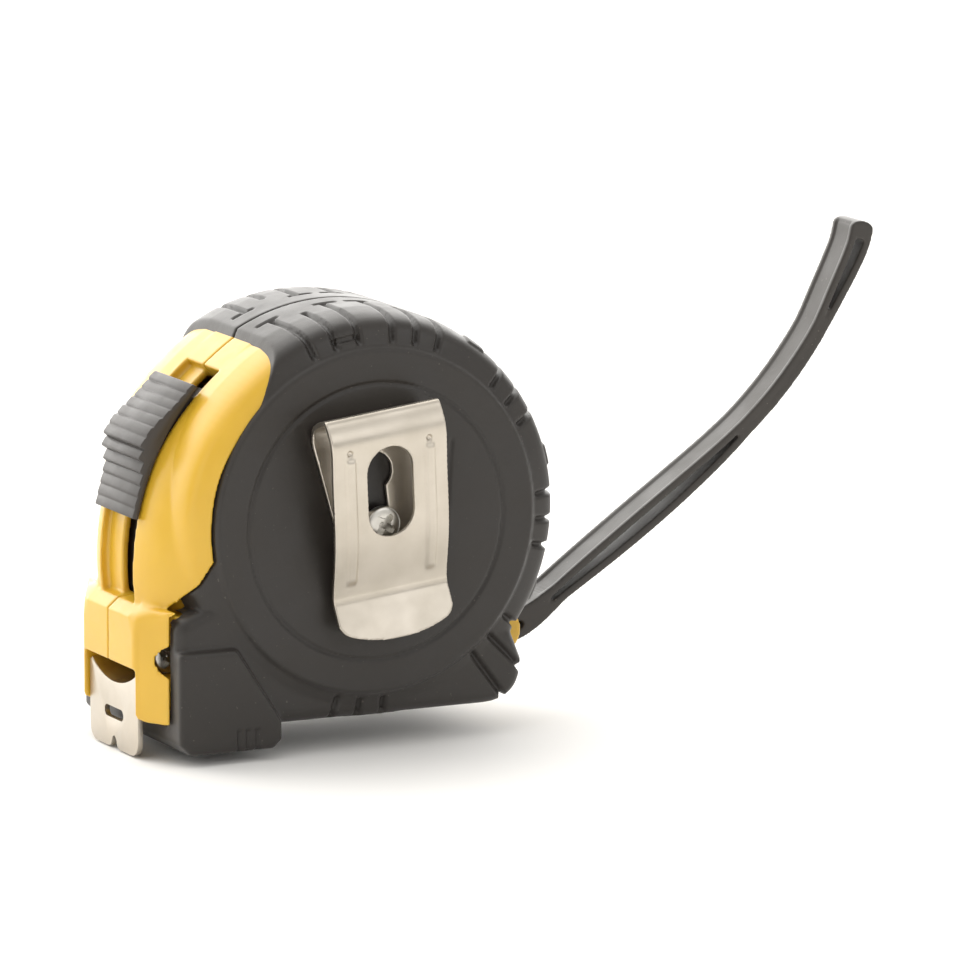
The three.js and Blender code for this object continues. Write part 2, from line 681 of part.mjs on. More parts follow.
function upright(radius, x, low, high) {
  const geometry = new THREE.CylinderGeometry(radius, radius, high - low, 16);
  geometry.rotateX(Math.PI / 2);
  geometry.translate(x, 0, (low + high) / 2);
  return solidOf(geometry);
}

function makeTape() {
  const section = dishSection(TAPE_LOW, TAPE_THICKNESS, TAPE_WIDTH / 2);
  let body = bar(section, HOOK_BACK + GAP + HOOK_PLAY, TAPE_END);
  for (const x of RIVET_PLACES) body = body.subtract(upright(RIVET_RADIUS + GAP, x, -FAR, 0));
  return body;
}

// The hook: an upright plate with a slot and a nick, on a flange that lies along the tape.
function makeHook() {
  const shape = new THREE.Shape();
  const side = HOOK_HALF;
  const low = HOOK_BOTTOM;
  const halfway = low + NICK_DEPTH / 2;
  shape.moveTo(-side, low + HOOK_LOBE);
  shape.quadraticCurveTo(-side, low, -side + HOOK_LOBE, low);
  shape.lineTo(-NICK_MOUTH, low);
  shape.quadraticCurveTo(-NICK_HALF - GAP, low, -NICK_HALF, halfway);
  shape.quadraticCurveTo(0, low + NICK_DEPTH, NICK_HALF, halfway);
  shape.quadraticCurveTo(NICK_HALF + GAP, low, NICK_MOUTH, low);
  shape.lineTo(side - HOOK_LOBE, low);
  shape.quadraticCurveTo(side, low, side, low + HOOK_LOBE);
  shape.lineTo(side, FLANGE_LOW + TAPE_SAG);
  shape.lineTo(-side, FLANGE_LOW + TAPE_SAG);
  shape.closePath();
  const slot = new THREE.Path();
  const slotZ = low + HOOK_SLOT_RISE;
  slot.absarc(-HOOK_SLOT_HALF, slotZ, HOOK_SLOT_RADIUS, Math.PI / 2, (3 * Math.PI) / 2);
  slot.absarc(HOOK_SLOT_HALF, slotZ, HOOK_SLOT_RADIUS, -Math.PI / 2, Math.PI / 2);
  slot.closePath();
  shape.holes.push(slot);
  const above = dishSection(FLANGE_LOW + HOOK_SHEET, 3 * TAPE_SAG, HOOK_HALF + TAPE_SAG);
  const plate = bar(shape, HOOK_FACE, HOOK_BACK, 5).subtract(bar(above, -FAR, FAR));
  const flange = bar(dishSection(FLANGE_LOW, HOOK_SHEET, HOOK_HALF - GAP),
    HOOK_FACE + 0.1, HOOK_BACK + HOOK_FLANGE);
  let body = plate.add(flange);
  for (const x of RIVET_PLACES) {
    const hole = RIVET_RADIUS + GAP;
    body = body.subtract(box(x, x + HOOK_PLAY, -hole, hole, FLANGE_LOW - 1, FLANGE_LOW + 2))
      .subtract(upright(hole, x, FLANGE_LOW - 1, FLANGE_LOW + 2))
      .subtract(upright(hole, x + HOOK_PLAY, FLANGE_LOW - 1, FLANGE_LOW + 2));
  }
  return body;
}

function makeRivet(x) {
  const top = FLANGE_LOW + HOOK_SHEET + GAP;
  const bottom = TAPE_LOW - GAP;
  const head = RIVET_RADIUS + RIVET_HEAD;
  return upright(RIVET_RADIUS, x, bottom - GAP, top + GAP)
    .add(upright(head, x, top, top + RIVET_HEAD_HEIGHT))
    .add(upright(head, x, bottom - RIVET_HEAD_HEIGHT, bottom));
}

// A rubber stop in the lip of the mouth that the hook strikes when the tape runs home.
function makeBumper() {
  return box(LIP_X + GAP, LIP_X + GAP + BUMPER_DEPTH, -PASSAGE_HALF + GAP, PASSAGE_HALF - GAP,
    MOUTH_BOTTOM + GAP, TAPE_LOW - 4 * GAP);
}

// ---------------------------------------------------------------- the thumb lock

// The ribbed pad: a stair of ribs that climbs to a hump and falls again, on a neck.
function makePad() {
  const base = FRONT_RADIUS + GAP;
  const shape = new THREE.Shape();
  const start = frontPoint(PAD_FROM, base);
  shape.moveTo(start.x, start.y);
  for (let i = 0; i < PAD_RIB_COUNT; i += 1) {
    const share = (i + 0.5) / PAD_RIB_COUNT;
    const spread = share < PAD_HUMP_AT ? PAD_HUMP_ABOVE : PAD_HUMP_BELOW;
    const rise = Math.exp(-(((share - PAD_HUMP_AT) / spread) ** 2));
    const top = base + PAD_EDGE + (PAD_HUMP - PAD_EDGE) * rise;
    const from = PAD_FROM + ((PAD_TO - PAD_FROM) * i) / PAD_RIB_COUNT;
    const to = PAD_FROM + ((PAD_TO - PAD_FROM) * (i + 1)) / PAD_RIB_COUNT;
    const rib = frontPoint(from + PAD_RIB_STEP, top - PAD_RIB_STEP);
    const crest = frontPoint(to - PAD_RIB_STEP, top + PAD_RIB_STEP);
    shape.lineTo(rib.x, rib.y);
    shape.lineTo(crest.x, crest.y);
  }
  for (let i = 8; i >= 1; i -= 1) {
    const point = frontPoint(PAD_FROM + ((PAD_TO - PAD_FROM) * i) / 8, base);
    shape.lineTo(point.x, point.y);
  }
  shape.closePath();
  const floor = FRONT_RADIUS - SLIDER_DEPTH + GAP;
  const neck = frontBand(PAD_FROM + NECK_INSET, PAD_TO - NECK_INSET, floor, base + GAP,
    -WINDOW_HALF + GAP, RAIL_FROM - GAP, 8);
  return prism(shape, -PAD_HALF, PAD_HALF).add(neck);
}

// The curved leaf under the window, with a tongue that presses the tape when it slides down.
function makeSlider() {
  const outer = FRONT_RADIUS - SLIDER_DEPTH;
  const inner = outer - SLIDER_THICKNESS;
  const split = PAD_TO + NECK_INSET;
  return frontBand(PAD_FROM - NECK_INSET, split, inner, outer, -SLIDER_HALF, SLIDER_HALF, 10)
    .add(frontBand(split - 1, TONGUE_TO, inner, outer, -TONGUE_HALF, TONGUE_HALF, 8));
}

// ---------------------------------------------------------------- screws and pin

// A cross-recess pan-head screw along +y, with its head's underside at y = seat.
function makeScrew(seat, length, x, z, headRadius) {
  const head = rod(headRadius, seat - SCREW_HEAD_HEIGHT, seat, x, z, 20);
  const crown = seat - SCREW_HEAD_HEIGHT;
  const cross = (across, up) => box(x - across, x + across, crown - 1, crown + RECESS_DEPTH,
    z - up, z + up);
  const recess = cross(RECESS_REACH, RECESS_HALF).add(cross(RECESS_HALF, RECESS_REACH));
  return head.add(rod(SCREW_RADIUS, seat - GAP, seat + length, x, z, 16)).subtract(recess);
}

function makePin() {
  const reach = STRAP_WIDTH / 2 + LUG_WIDTH - PIN_BLIND;
  return rod(PIN_RADIUS, -reach, reach, PIN_X, PIN_Z, 20);
}

// ---------------------------------------------------------------- the belt clip

// The outline of a bent strip: its middle line, thickened by half the sheet to each side.
function stripOutline(points, sheet) {
  const curve = new THREE.CatmullRomCurve3(
    points.map(([x, y]) => new THREE.Vector3(x, y, 0)), false, 'centripetal',
  );
  const left = [];
  const right = [];
  const steps = points.length * 3;
  for (let i = 0; i <= steps; i += 1) {
    const at = curve.getPoint(i / steps);
    const way = curve.getTangent(i / steps);
    left.push(new THREE.Vector2(at.x - (way.y * sheet) / 2, at.y + (way.x * sheet) / 2));
    right.push(new THREE.Vector2(at.x + (way.y * sheet) / 2, at.y - (way.x * sheet) / 2));
  }
  return new THREE.Shape([...left, ...right.reverse()]);
}

// Two leaves joined by a fold at the top: the back one lies on the flank under the screw, the
// front one leans in to touch the case at its crease and flares out below it.
function makeClip() {
  const back = -CASE_HALF - GAP - CLIP_SHEET / 2;
  const front = back - CLIP_STANDOFF;
  const touch = back - CLIP_SHEET - 2 * GAP;
  const lean = (share) => front + (touch - front) * share;
  const foldTop = CLIP_TOP - CLIP_SHEET / 2;
  const length = foldTop - CLIP_CREASE;
  const outline = stripOutline([
    [back, CLIP_BACK_BOTTOM], [back, 0], [back, CLIP_TOP / 2], [back, foldTop - CLIP_FOLD],
    [back - CLIP_FOLD / 3, foldTop - CLIP_FOLD / 3], [front + CLIP_FOLD / 2, foldTop],
    [front + CLIP_FOLD / 4, foldTop - CLIP_FOLD / 5], [front, foldTop - CLIP_FOLD],
    [lean(0.18), foldTop - length / 3], [lean(0.48), CLIP_CREASE + length / 3],
    [lean(0.94), CLIP_CREASE + CLIP_FOLD / 2], [touch, CLIP_CREASE],
    [touch - CLIP_FLARE / 4, CLIP_CREASE - CLIP_FOLD / 2], [touch - CLIP_FLARE, CLIP_BOTTOM],
  ], CLIP_SHEET);
  const reach = CLIP_WIDTH / 2;
  let body = bar(outline, -reach, reach);

  const leaves = (back + touch) / 2;
  const backHalf = (shape) => prism(shape, leaves, 0);
  const narrow = reach - CLIP_TAPER;
  for (const side of [-1, 1]) {
    const waste = polygon([[side * FAR, foldTop - CLIP_FOLD], [side * reach, foldTop - CLIP_FOLD],
      [side * narrow, CLIP_BACK_BOTTOM], [side * narrow, -FAR], [side * FAR, -FAR]]);
    body = body.subtract(backHalf(waste));
  }
  const keyhole = rod(KEYHOLE_RADIUS, leaves, 0, 0, KEYHOLE_AT)
    .add(rod(KEYHOLE_NECK, leaves, 0))
    .add(box(-KEYHOLE_NECK, KEYHOLE_NECK, leaves, 0, 0, KEYHOLE_AT));
  body = body.subtract(keyhole);

  const window = rod(CLIP_SLOT_HALF, -FAR, leaves, 0, CLIP_SLOT_FROM + CLIP_SLOT_HALF)
    .add(rod(CLIP_SLOT_HALF, -FAR, leaves, 0, CLIP_SLOT_TO - CLIP_SLOT_HALF))
    .add(box(-CLIP_SLOT_HALF, CLIP_SLOT_HALF, -FAR, leaves,
      CLIP_SLOT_FROM + CLIP_SLOT_HALF, CLIP_SLOT_TO - CLIP_SLOT_HALF));
  body = body.subtract(window);

  const foot = new THREE.Shape();
  const corner = CLIP_BOTTOM + CLIP_FOOT_ARC;
  foot.moveTo(-FAR, -FAR);
  foot.lineTo(-FAR, corner);
  foot.lineTo(-reach, corner);
  foot.quadraticCurveTo(0, CLIP_BOTTOM - CLIP_FOOT_ARC, reach, corner);
  foot.lineTo(FAR, corner);
  foot.lineTo(FAR, -FAR);
  foot.closePath();
  return body.subtract(prism(foot, -FAR, 0));
}

// ---------------------------------------------------------------- the wrist strap

// Middle line of the loop from the pin to the tip, as steps in x and z from the pin.
const STRAP_LINE = [
  [0, 0], [3.6, -0.9], [8.6, 0.9], [15.4, 5.6], [27.2, 13.6], [37.8, 21.1], [46.2, 27.6],
  [54.2, 35], [61, 43.4], [66, 52], [69.2, 58.2], [70.2, 61.6],
];

// How much the two strands stand apart: each bow is the share where it starts, its length and
// its height. Between the bows the strands lie together.
const STRAP_BOWS = [[0.1, 0.5, 0.7], [0.82, 0.4, 0.7]];
const STRAP_EYE_HALF = 2.6;
const STRAP_BLOCK_LENGTH = 0.16;
const STRAP_HOLE = [0.13, 0.985];

// Half the space between the two strands, at a share of the loop's length.
function strapHalfGap(share) {
  const bows = STRAP_BOWS.map(([from, length, height]) => {
    const along = THREE.MathUtils.clamp((share - from) / length, 0, 1);
    return height * Math.sin(Math.PI * along);
  });
  return STRAP_GAP + Math.max(...bows);
}

// Half the strap's outer thickness: the strands, or the solid block next to the pin.
function strapHalf(share) {
  const strands = STRAP_STRAND + strapHalfGap(share);
  const along = THREE.MathUtils.clamp(share / STRAP_BLOCK_LENGTH, 0, 1);
  return Math.max(strands, STRAP_EYE_HALF + (strands - STRAP_EYE_HALF) * along * along);
}

function makeStrap() {
  const curve = new THREE.CatmullRomCurve3(
    STRAP_LINE.map(([x, z]) => new THREE.Vector3(PIN_X + x, PIN_Z + z, 0)), false, 'centripetal',
  );
  const steps = 48;
  const offset = (share, distance) => {
    const at = curve.getPointAt(share);
    const way = curve.getTangentAt(share);
    return new THREE.Vector2(at.x - way.y * distance, at.y + way.x * distance);
  };
  const tip = curve.getPointAt(1);
  const way = curve.getTangentAt(1);
  const shares = Array.from({ length: steps + 1 }, (_, i) => i / steps);
  const back = [...shares].reverse();
  const shape = new THREE.Shape([
    ...shares.map((share) => offset(share, strapHalf(share))),
    new THREE.Vector2(tip.x + way.x * STRAP_TIP, tip.y + way.y * STRAP_TIP),
    ...back.map((share) => offset(share, -strapHalf(share))),
  ]);
  const inHole = (share) => STRAP_HOLE[0] + (STRAP_HOLE[1] - STRAP_HOLE[0]) * share;
  const hole = new THREE.Shape([
    ...shares.map(inHole).map((share) => offset(share, strapHalfGap(share))),
    ...back.map(inHole).map((share) => offset(share, -strapHalfGap(share))),
  ]);
  const side = STRAP_WIDTH / 2;
  return prism(shape, -side, side)
    .subtract(prism(hole, -FAR, FAR))
    .add(rod(PIN_RADIUS + STRAP_EYE_WALL, -side, side, PIN_X, PIN_Z))
    .subtract(rod(PIN_RADIUS + RUNNING_PLAY, -FAR, FAR, PIN_X, PIN_Z));
}

// ---------------------------------------------------------------- assembly

const FINISHES = {
  yellow_abs: { color: 0xe8c440, roughness: 0.4, metalness: 0 },
  black_rubber: { color: 0x45403b, roughness: 0.75, metalness: 0 },
  grey_abs: { color: 0x6e6a68, roughness: 0.55, metalness: 0 },
  dark_abs: { color: 0x2e2b29, roughness: 0.5, metalness: 0 },
  satin_steel: { color: 0xdcd5ca, roughness: 0.3, metalness: 1 },
  dark_steel: { color: 0x54565a, roughness: 0.35, metalness: 1 },
  tape_yellow: { color: 0xf2d24a, roughness: 0.35, metalness: 0 },
};

const root = new THREE.Group();
const tilted = new THREE.Group();

function addPiece(name, solid, finish, parent = root) {
  const mesh = new THREE.Mesh(geometryOf(solid), new THREE.MeshStandardMaterial(FINISHES[finish]));
  mesh.name = name;
  parent.add(mesh);
}

addPiece('shell_clip_side', makeShell(-1), 'yellow_abs');
addPiece('shell_plain_side', makeShell(1), 'yellow_abs');
addPiece('jacket_clip_side', makeJacket(-1), 'black_rubber');
addPiece('jacket_plain_side', makeJacket(1), 'black_rubber');
addPiece('centre_post', makePost(), 'dark_steel');
addPiece('power_spring', makeSpring(), 'dark_steel');
addPiece('drum', makeDrum(), 'dark_abs');
addPiece('drum_cover', makeDrumCover(), 'dark_abs');
addPiece('tape_coil', makeCoil(), 'tape_yellow');
addPiece('tape_blade', makeTape(), 'tape_yellow');
addPiece('end_hook', makeHook(), 'satin_steel');
RIVET_PLACES.forEach((x, i) => addPiece(`hook_rivet_${i + 1}`, makeRivet(x), 'satin_steel'));
addPiece('hook_bumper', makeBumper(), 'black_rubber');
addPiece('thumb_lock', makePad(), 'grey_abs');
addPiece('lock_slider', makeSlider(), 'dark_abs');
SCREW_PLACES.forEach(([x, z], i) => addPiece(`case_screw_${i + 1}`,
  makeScrew(screwSeat(x), CASE_SCREW_END - screwSeat(x), x, z, CASE_HEAD_RADIUS),
  'satin_steel'));
addPiece('strap_pin', makePin(), 'satin_steel');
addPiece('wrist_strap', makeStrap(), 'black_rubber');

tilted.rotation.y = -radians(CLIP_TURN);
root.add(tilted);
addPiece('belt_clip', makeClip(), 'satin_steel', tilted);
addPiece('clip_screw', makeScrew(-CASE_HALF - 2 * GAP - CLIP_SHEET, CLIP_SCREW_LENGTH,
  0, 0, SCREW_HEAD_RADIUS), 'satin_steel', tilted);

root.position.y = -CASE_HALF;

export default root;
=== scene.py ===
# %% [markdown]
# # A pocket tape measure
# The model is a tape measure with a yellow case in a rubber jacket, a thumb lock, a belt clip and a
# wrist strap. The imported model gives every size, place and joint. This script gives the looks: it
# builds a finer mesh for each piece that shows, and a material for each finish.

# %% The frame
import math

import bmesh
import bpy
import numpy as np
from mathutils import Matrix, Vector


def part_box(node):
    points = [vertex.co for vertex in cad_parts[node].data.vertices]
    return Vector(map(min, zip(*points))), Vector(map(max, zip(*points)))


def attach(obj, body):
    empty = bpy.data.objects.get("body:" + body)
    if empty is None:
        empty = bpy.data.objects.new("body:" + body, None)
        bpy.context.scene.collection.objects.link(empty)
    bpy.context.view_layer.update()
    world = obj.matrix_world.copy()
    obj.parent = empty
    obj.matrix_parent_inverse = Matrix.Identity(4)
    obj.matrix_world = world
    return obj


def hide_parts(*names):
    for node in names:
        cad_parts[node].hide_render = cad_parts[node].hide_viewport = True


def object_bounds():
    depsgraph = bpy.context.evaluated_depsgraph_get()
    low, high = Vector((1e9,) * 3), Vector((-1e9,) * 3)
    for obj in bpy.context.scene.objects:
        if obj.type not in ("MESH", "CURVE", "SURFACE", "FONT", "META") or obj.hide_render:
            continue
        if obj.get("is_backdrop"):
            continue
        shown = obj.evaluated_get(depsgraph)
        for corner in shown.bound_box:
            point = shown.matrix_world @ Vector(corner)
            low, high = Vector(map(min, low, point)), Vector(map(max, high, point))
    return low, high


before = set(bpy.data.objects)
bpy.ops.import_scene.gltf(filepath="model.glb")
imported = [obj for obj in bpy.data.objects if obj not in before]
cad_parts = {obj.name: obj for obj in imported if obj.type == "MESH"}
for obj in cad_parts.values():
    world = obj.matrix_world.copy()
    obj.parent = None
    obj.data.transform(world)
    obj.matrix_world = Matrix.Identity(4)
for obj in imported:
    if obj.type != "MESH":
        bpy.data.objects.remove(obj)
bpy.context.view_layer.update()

# %% [markdown]
# ## Sizes
# The shapes are drawn in millimetres about the drum's axis and the parting plane, because a case
# like this is designed about its parting plane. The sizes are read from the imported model's boxes,
# so a change there changes the looks too. One function puts a finished mesh in its place.

# %% Sizes read from the frame, in millimetres
MM = 0.001


def span(node, axis):
    """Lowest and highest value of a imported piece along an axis, in millimetres."""
    low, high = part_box(node)
    return low[axis] / MM, high[axis] / MM


X, Y, Z = 0, 1, 2
HALF = (span("jacket_plain_side", Y)[1] - span("jacket_clip_side", Y)[0]) / 2
CROWN = span("jacket_clip_side", Z)[1]
FOOT_Z = span("jacket_clip_side", Z)[0]
JACKET_X = span("jacket_clip_side", X)[0]
NOSE_X = span("shell_clip_side", X)[0]
COIL = span("tape_coil", Z)[1]
TAPE_HALF = (span("tape_coil", Y)[1] - span("tape_coil", Y)[0]) / 2
PIN_X = sum(span("strap_pin", X)) / 2
PIN_Z = sum(span("strap_pin", Z)) / 2
STRAP_HALF = (span("wrist_strap", Y)[1] - span("wrist_strap", Y)[0]) / 2
PAD_HALF = (span("thumb_lock", Y)[1] - span("thumb_lock", Y)[0]) / 2
HOOK_HALF = (span("end_hook", Y)[1] - span("end_hook", Y)[0]) / 2
HOOK_FACE, _ = span("end_hook", X)
HOOK_LOW, _ = span("end_hook", Z)

# The clearance between pieces, the jacket's thickness, the whole wall's, and the raised disc.
GAP = 0.3
SKIN = 2.5
WALL = 5
RING = CROWN - 5.4
SHOULDER = HALF - 0.9

# The nose, the mouth, the underside, the heel and the foot.
NOSE_HALF = TAPE_HALF + 0.2
MOUTH_TOP = -COIL - 2.4
NOSE_TOP = MOUTH_TOP + 8.7
CHEEK_LOW = MOUTH_TOP - 8.4
UNDER = CHEEK_LOW - 1.1
HEEL = CROWN - 6.7
FOOT_TOP = FOOT_Z + 17
FOOT_LENGTH = 18.2

# The cheeks beside the mouth, the root that carries them, and the border beside the nose.
CHEEK_WALL, CHEEK_SPREAD, CHEEK_BLEND = 1.2, 6.3, 7.8
ROOT_HALF, ROOT_BACK = NOSE_HALF + 4.1, JACKET_X + 12
BORDER_BACK, BORDER_LOW, BORDER_HIGH = 4.4, NOSE_TOP + 0.9, NOSE_TOP + 5.7

# The arched front leaves the round crown at the tangent's angle, about a centre of its own.
TANGENT = math.radians(130)
ARC_OFFSET = 10
ARC_X, ARC_Z = -ARC_OFFSET * math.cos(TANGENT), -ARC_OFFSET * math.sin(TANGENT)
ARC = CROWN + ARC_OFFSET
EDGE_FROM = 118

# The lock's window and pad, as angles round the arch's centre, and a reach past everything.
SILL = 180 + math.degrees(math.asin((ARC_Z - NOSE_TOP - 1.6) / ARC))
WINDOW_FROM = 131.5
WINDOW_HALF = 6.4
PAD_FROM, PAD_TO = 137.6, 168.4
FAR = 90
SIDES = {"clip_side": -1, "plain_side": 1}
print("case half thickness", HALF, "crown radius", CROWN, "sill angle", round(SILL, 1))

# %% [markdown]
# ## Mesh tools
# A moulded case is easiest to think of as solids that are joined and cut: an outline drawn from the
# side and thickened, or a profile turned round the drum's axis. Blender's Boolean modifier joins
# and cuts them. A voxel remesh and a few smoothing passes then round every edge by the same small
# amount, as a mould does, and give an even mesh that can be shaped point by point.

# %% Mesh tools
def mesh_object(name, points, faces):
    """A new object from points in millimetres and faces, with its faces turned outwards."""
    mesh = bpy.data.meshes.new(name)
    mesh.from_pydata([tuple(p) for p in points], [], faces)
    made = bmesh.new()
    made.from_mesh(mesh)
    bmesh.ops.remove_doubles(made, verts=made.verts, dist=1e-5)
    bmesh.ops.recalc_face_normals(made, faces=made.faces)
    made.to_mesh(mesh)
    made.free()
    obj = bpy.data.objects.new(name, mesh)
    bpy.context.scene.collection.objects.link(obj)
    return obj


def thicken(outline, low, high, across=Y):
    """An outline, thickened along an axis. It is drawn in the other two, in X, Y, Z order."""
    places = {X: (1, 2, 0), Y: (0, 2, 1), Z: (0, 1, 2)}[across]
    points = []
    for level in (low, high):
        for a, b in outline:
            point = [0, 0, 0]
            point[places[0]], point[places[1]], point[places[2]] = a, b, level
            points.append(point)
    n = len(outline)
    faces = [tuple(range(n)), tuple(range(n, 2 * n))]
    faces += [(i, (i + 1) % n, n + (i + 1) % n, n + i) for i in range(n)]
    return mesh_object("blank", points, faces)


def turned(profile, steps=160, x=0, z=0):
    """A profile of (radius, y) points, from axis to axis, turned round the axis through x, z."""
    points, faces = [], []
    n = len(profile)
    for k in range(steps):
        c, s = math.cos(2 * math.pi * k / steps), math.sin(2 * math.pi * k / steps)
        points += [(x + r * c, y, z + r * s) for r, y in profile]
    for k in range(steps):
        a, b = k * n, ((k + 1) % steps) * n
        faces += [(a + i, a + i + 1, b + i + 1, b + i) for i in range(n - 1)]
    return mesh_object("turned", points, faces)


def both_sides(profile):
    """A profile from the axis out to the middle plane, mirrored to the other side."""
    return profile + [(r, -y) for r, y in reversed(profile[:-1])]


def rod(radius, low, high, x=0, z=0, steps=64):
    """A round bar from one y to another, about the axis through x, z."""
    return turned([(0, low), (radius, low), (radius, high), (0, high)], steps, x, z)


def block(x, y, z):
    """A box from three pairs of low and high values."""
    return thicken([(x[0], z[0]), (x[1], z[0]), (x[1], z[1]), (x[0], z[1])], *y)


def apply_modifiers(obj):
    """Keeps the shape that the modifiers give, and takes them off."""
    graph = bpy.context.evaluated_depsgraph_get()
    mesh = bpy.data.meshes.new_from_object(obj.evaluated_get(graph))
    obj.modifiers.clear()
    obj.data = mesh
    return obj


def boolean(obj, other, operation):
    """Joins, cuts or keeps what two solids share, and throws the second one away."""
    step = obj.modifiers.new("boolean", "BOOLEAN")
    step.operation, step.solver, step.object = operation, "MANIFOLD", other
    apply_modifiers(obj)
    bpy.data.objects.remove(other)
    return obj


def join(obj, *others):
    for other in others:
        boolean(obj, other, "UNION")
    return obj


def cut(obj, *others):
    for other in others:
        boolean(obj, other, "DIFFERENCE")
    return obj


def keep(obj, other):
    """Keeps what lies inside both solids."""
    return boolean(obj, other, "INTERSECT")


def moulded(obj, voxel, passes):
    """Remeshes a solid evenly and rounds its edges."""
    step = obj.modifiers.new("remesh", "REMESH")
    step.mode, step.voxel_size, step.adaptivity = "VOXEL", voxel, 0
    if passes:
        round_off = obj.modifiers.new("round", "SMOOTH")
        round_off.factor, round_off.iterations = 0.5, passes
    return apply_modifiers(obj)


def bevel(obj, width, segments, angle=50):
    """Rounds the edges that are sharper than an angle in degrees."""
    step = obj.modifiers.new("bevel", "BEVEL")
    step.width, step.segments, step.limit_method = width, segments, "ANGLE"
    step.angle_limit = math.radians(angle)
    step.use_clamp_overlap = True
    return apply_modifiers(obj)


# %% [markdown]
# ### Shaping point by point
# An even mesh can take grooves and blends that would be awkward to cut. Each is a smooth function
# of a point's place, and mostly moves the point along its own normal.

# %% Shaping point by point
def soften(obj, weight, passes):
    """Smooths a mesh where a weight per point says so, as a hand would blend two surfaces."""
    group = obj.vertex_groups.new(name="soft")
    for i in np.nonzero(weight > 0.02)[0]:
        group.add([int(i)], float(weight[i]), "REPLACE")
    step = obj.modifiers.new("soften", "SMOOTH")
    step.factor, step.iterations, step.vertex_group = 0.5, passes, group.name
    apply_modifiers(obj)
    obj.vertex_groups.clear()
    return obj


def points_of(obj):
    """A mesh's points in millimetres, one row each."""
    co = np.empty(len(obj.data.vertices) * 3)
    obj.data.vertices.foreach_get("co", co)
    return co.reshape(-1, 3)


def set_points(obj, co):
    obj.data.vertices.foreach_set("co", co.ravel())
    obj.data.update()


def normals_of(obj):
    n = np.empty(len(obj.data.vertices) * 3)
    obj.data.vertex_normals.foreach_get("vector", n)
    return n.reshape(-1, 3)


def ridge(distance, width):
    """One at the middle of a groove, falling smoothly to nothing at about its width."""
    return np.exp(-((distance / width) ** 4))


def ramp(value, low, high):
    """Nothing below one value, one above the other, and smooth between them."""
    t = np.clip((value - low) / (high - low), 0, 1)
    return t * t * (3 - 2 * t)


def finish_piece(obj, name, material, body, *stands_for):
    """Puts a piece drawn in millimetres in its place, with its material and its body."""
    obj.name = obj.data.name = name
    obj.data.transform(Matrix.Translation((0, -HALF * MM, 0)) @ Matrix.Scale(MM, 4))
    obj.data.materials.clear()
    obj.data.materials.append(material)
    obj.data.shade_smooth()
    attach(obj, body)
    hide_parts(*stands_for)
    print(name, len(obj.data.polygons), "faces")
    return obj


def arc_point(angle, radius):
    """A point at an angle in degrees and a radius round the front arc's centre."""
    a = math.radians(angle)
    return ARC_X + radius * math.cos(a), ARC_Z + radius * math.sin(a)


def arc_band(start, end, inner, outer, low, high, steps=48):
    """A curved bar round the front arc's centre, between two angles, two radii and two y."""
    angles = [start + (end - start) * i / steps for i in range(steps + 1)]
    outline = [arc_point(a, outer) for a in angles] + [arc_point(a, inner) for a in angles[::-1]]
    return thicken(outline, low, high)


# %% [markdown]
# ## The case's outer forms
# The case is a round body with a flat underside, a heel, a foot under the nose, and a raised disc
# on each flank. The bare front is an arch that leaves the crown smoothly and narrows to the nose.
# Each form takes a depth, so the same function gives the outside and what lies under the jacket.

# %% The case's outer forms
def rounded(corners, steps=6):
    """A smooth curve through a profile's corners, as points."""
    ends = [corners[0]] + list(corners) + [corners[-1]]
    out = []
    for a, b, c, d in zip(ends, ends[1:], ends[2:], ends[3:]):
        for i in range(steps):
            t = i / steps
            out.append(tuple(0.5 * (2 * q + (r - p) * t + (2 * p - 5 * q + 4 * r - s) * t * t
                                    + (3 * q - p - 3 * r + s) * t ** 3)
                             for p, q, r, s in zip(a, b, c, d)))
    return out + [corners[-1]]


def round_body(depth):
    """The round case with its rolled shoulders, cut flat under the nose."""
    top, crown = SHOULDER - depth, CROWN - depth
    profile = [(0, top)] + rounded([(crown - 4.8, top), (crown - 1.9, top - 1.1),
                                    (crown - 0.6, top - 3.6), (crown, top - 8)]) + [(crown, 0)]
    return cut(turned(both_sides(profile)), block((-FAR, FAR), (-FAR, FAR), (-FAR, UNDER + depth)))


def lower_body(depth):
    """The part below the axis that runs from the jacket's front to the rounded heel."""
    bottom, front, heel = UNDER + depth, JACKET_X + depth, HEEL - depth
    outline = [(front, NOSE_TOP), (front, bottom), (heel - 7, bottom)]
    for i in range(1, 9):
        t = i / 8
        outline.append(((1 - t) ** 2 * (heel - 7) + 2 * t * (1 - t) * heel + t * t * heel,
                        (1 - t) ** 2 * bottom + 2 * t * (1 - t) * bottom + t * t * (bottom + 7)))
    outline += [(heel - 2, -CROWN * 0.6), (0, 0)]
    side = SHOULDER - depth - 0.4
    body = thicken(outline, -side, side)
    return bevel(body, 2.0, 4)


def foot_block():
    """The block under the nose, as wide as the shoulders, with a sloping back."""
    front, back = JACKET_X, JACKET_X + FOOT_LENGTH
    outline = [(front, FOOT_TOP), (front, FOOT_Z + 2), (front + 2, FOOT_Z), (back - 1.5, FOOT_Z),
               (back, FOOT_Z + 1.5), (back, UNDER + 0.8), (back - 8, FOOT_TOP)]
    return bevel(thicken(outline, -SHOULDER - 0.8, SHOULDER + 0.8), 0.7, 3)


def flank_disc():
    """The raised disc on both flanks."""
    return turned(both_sides([(0, HALF), (RING - 0.5, HALF), (RING, HALF - 0.5), (RING, 0)]))


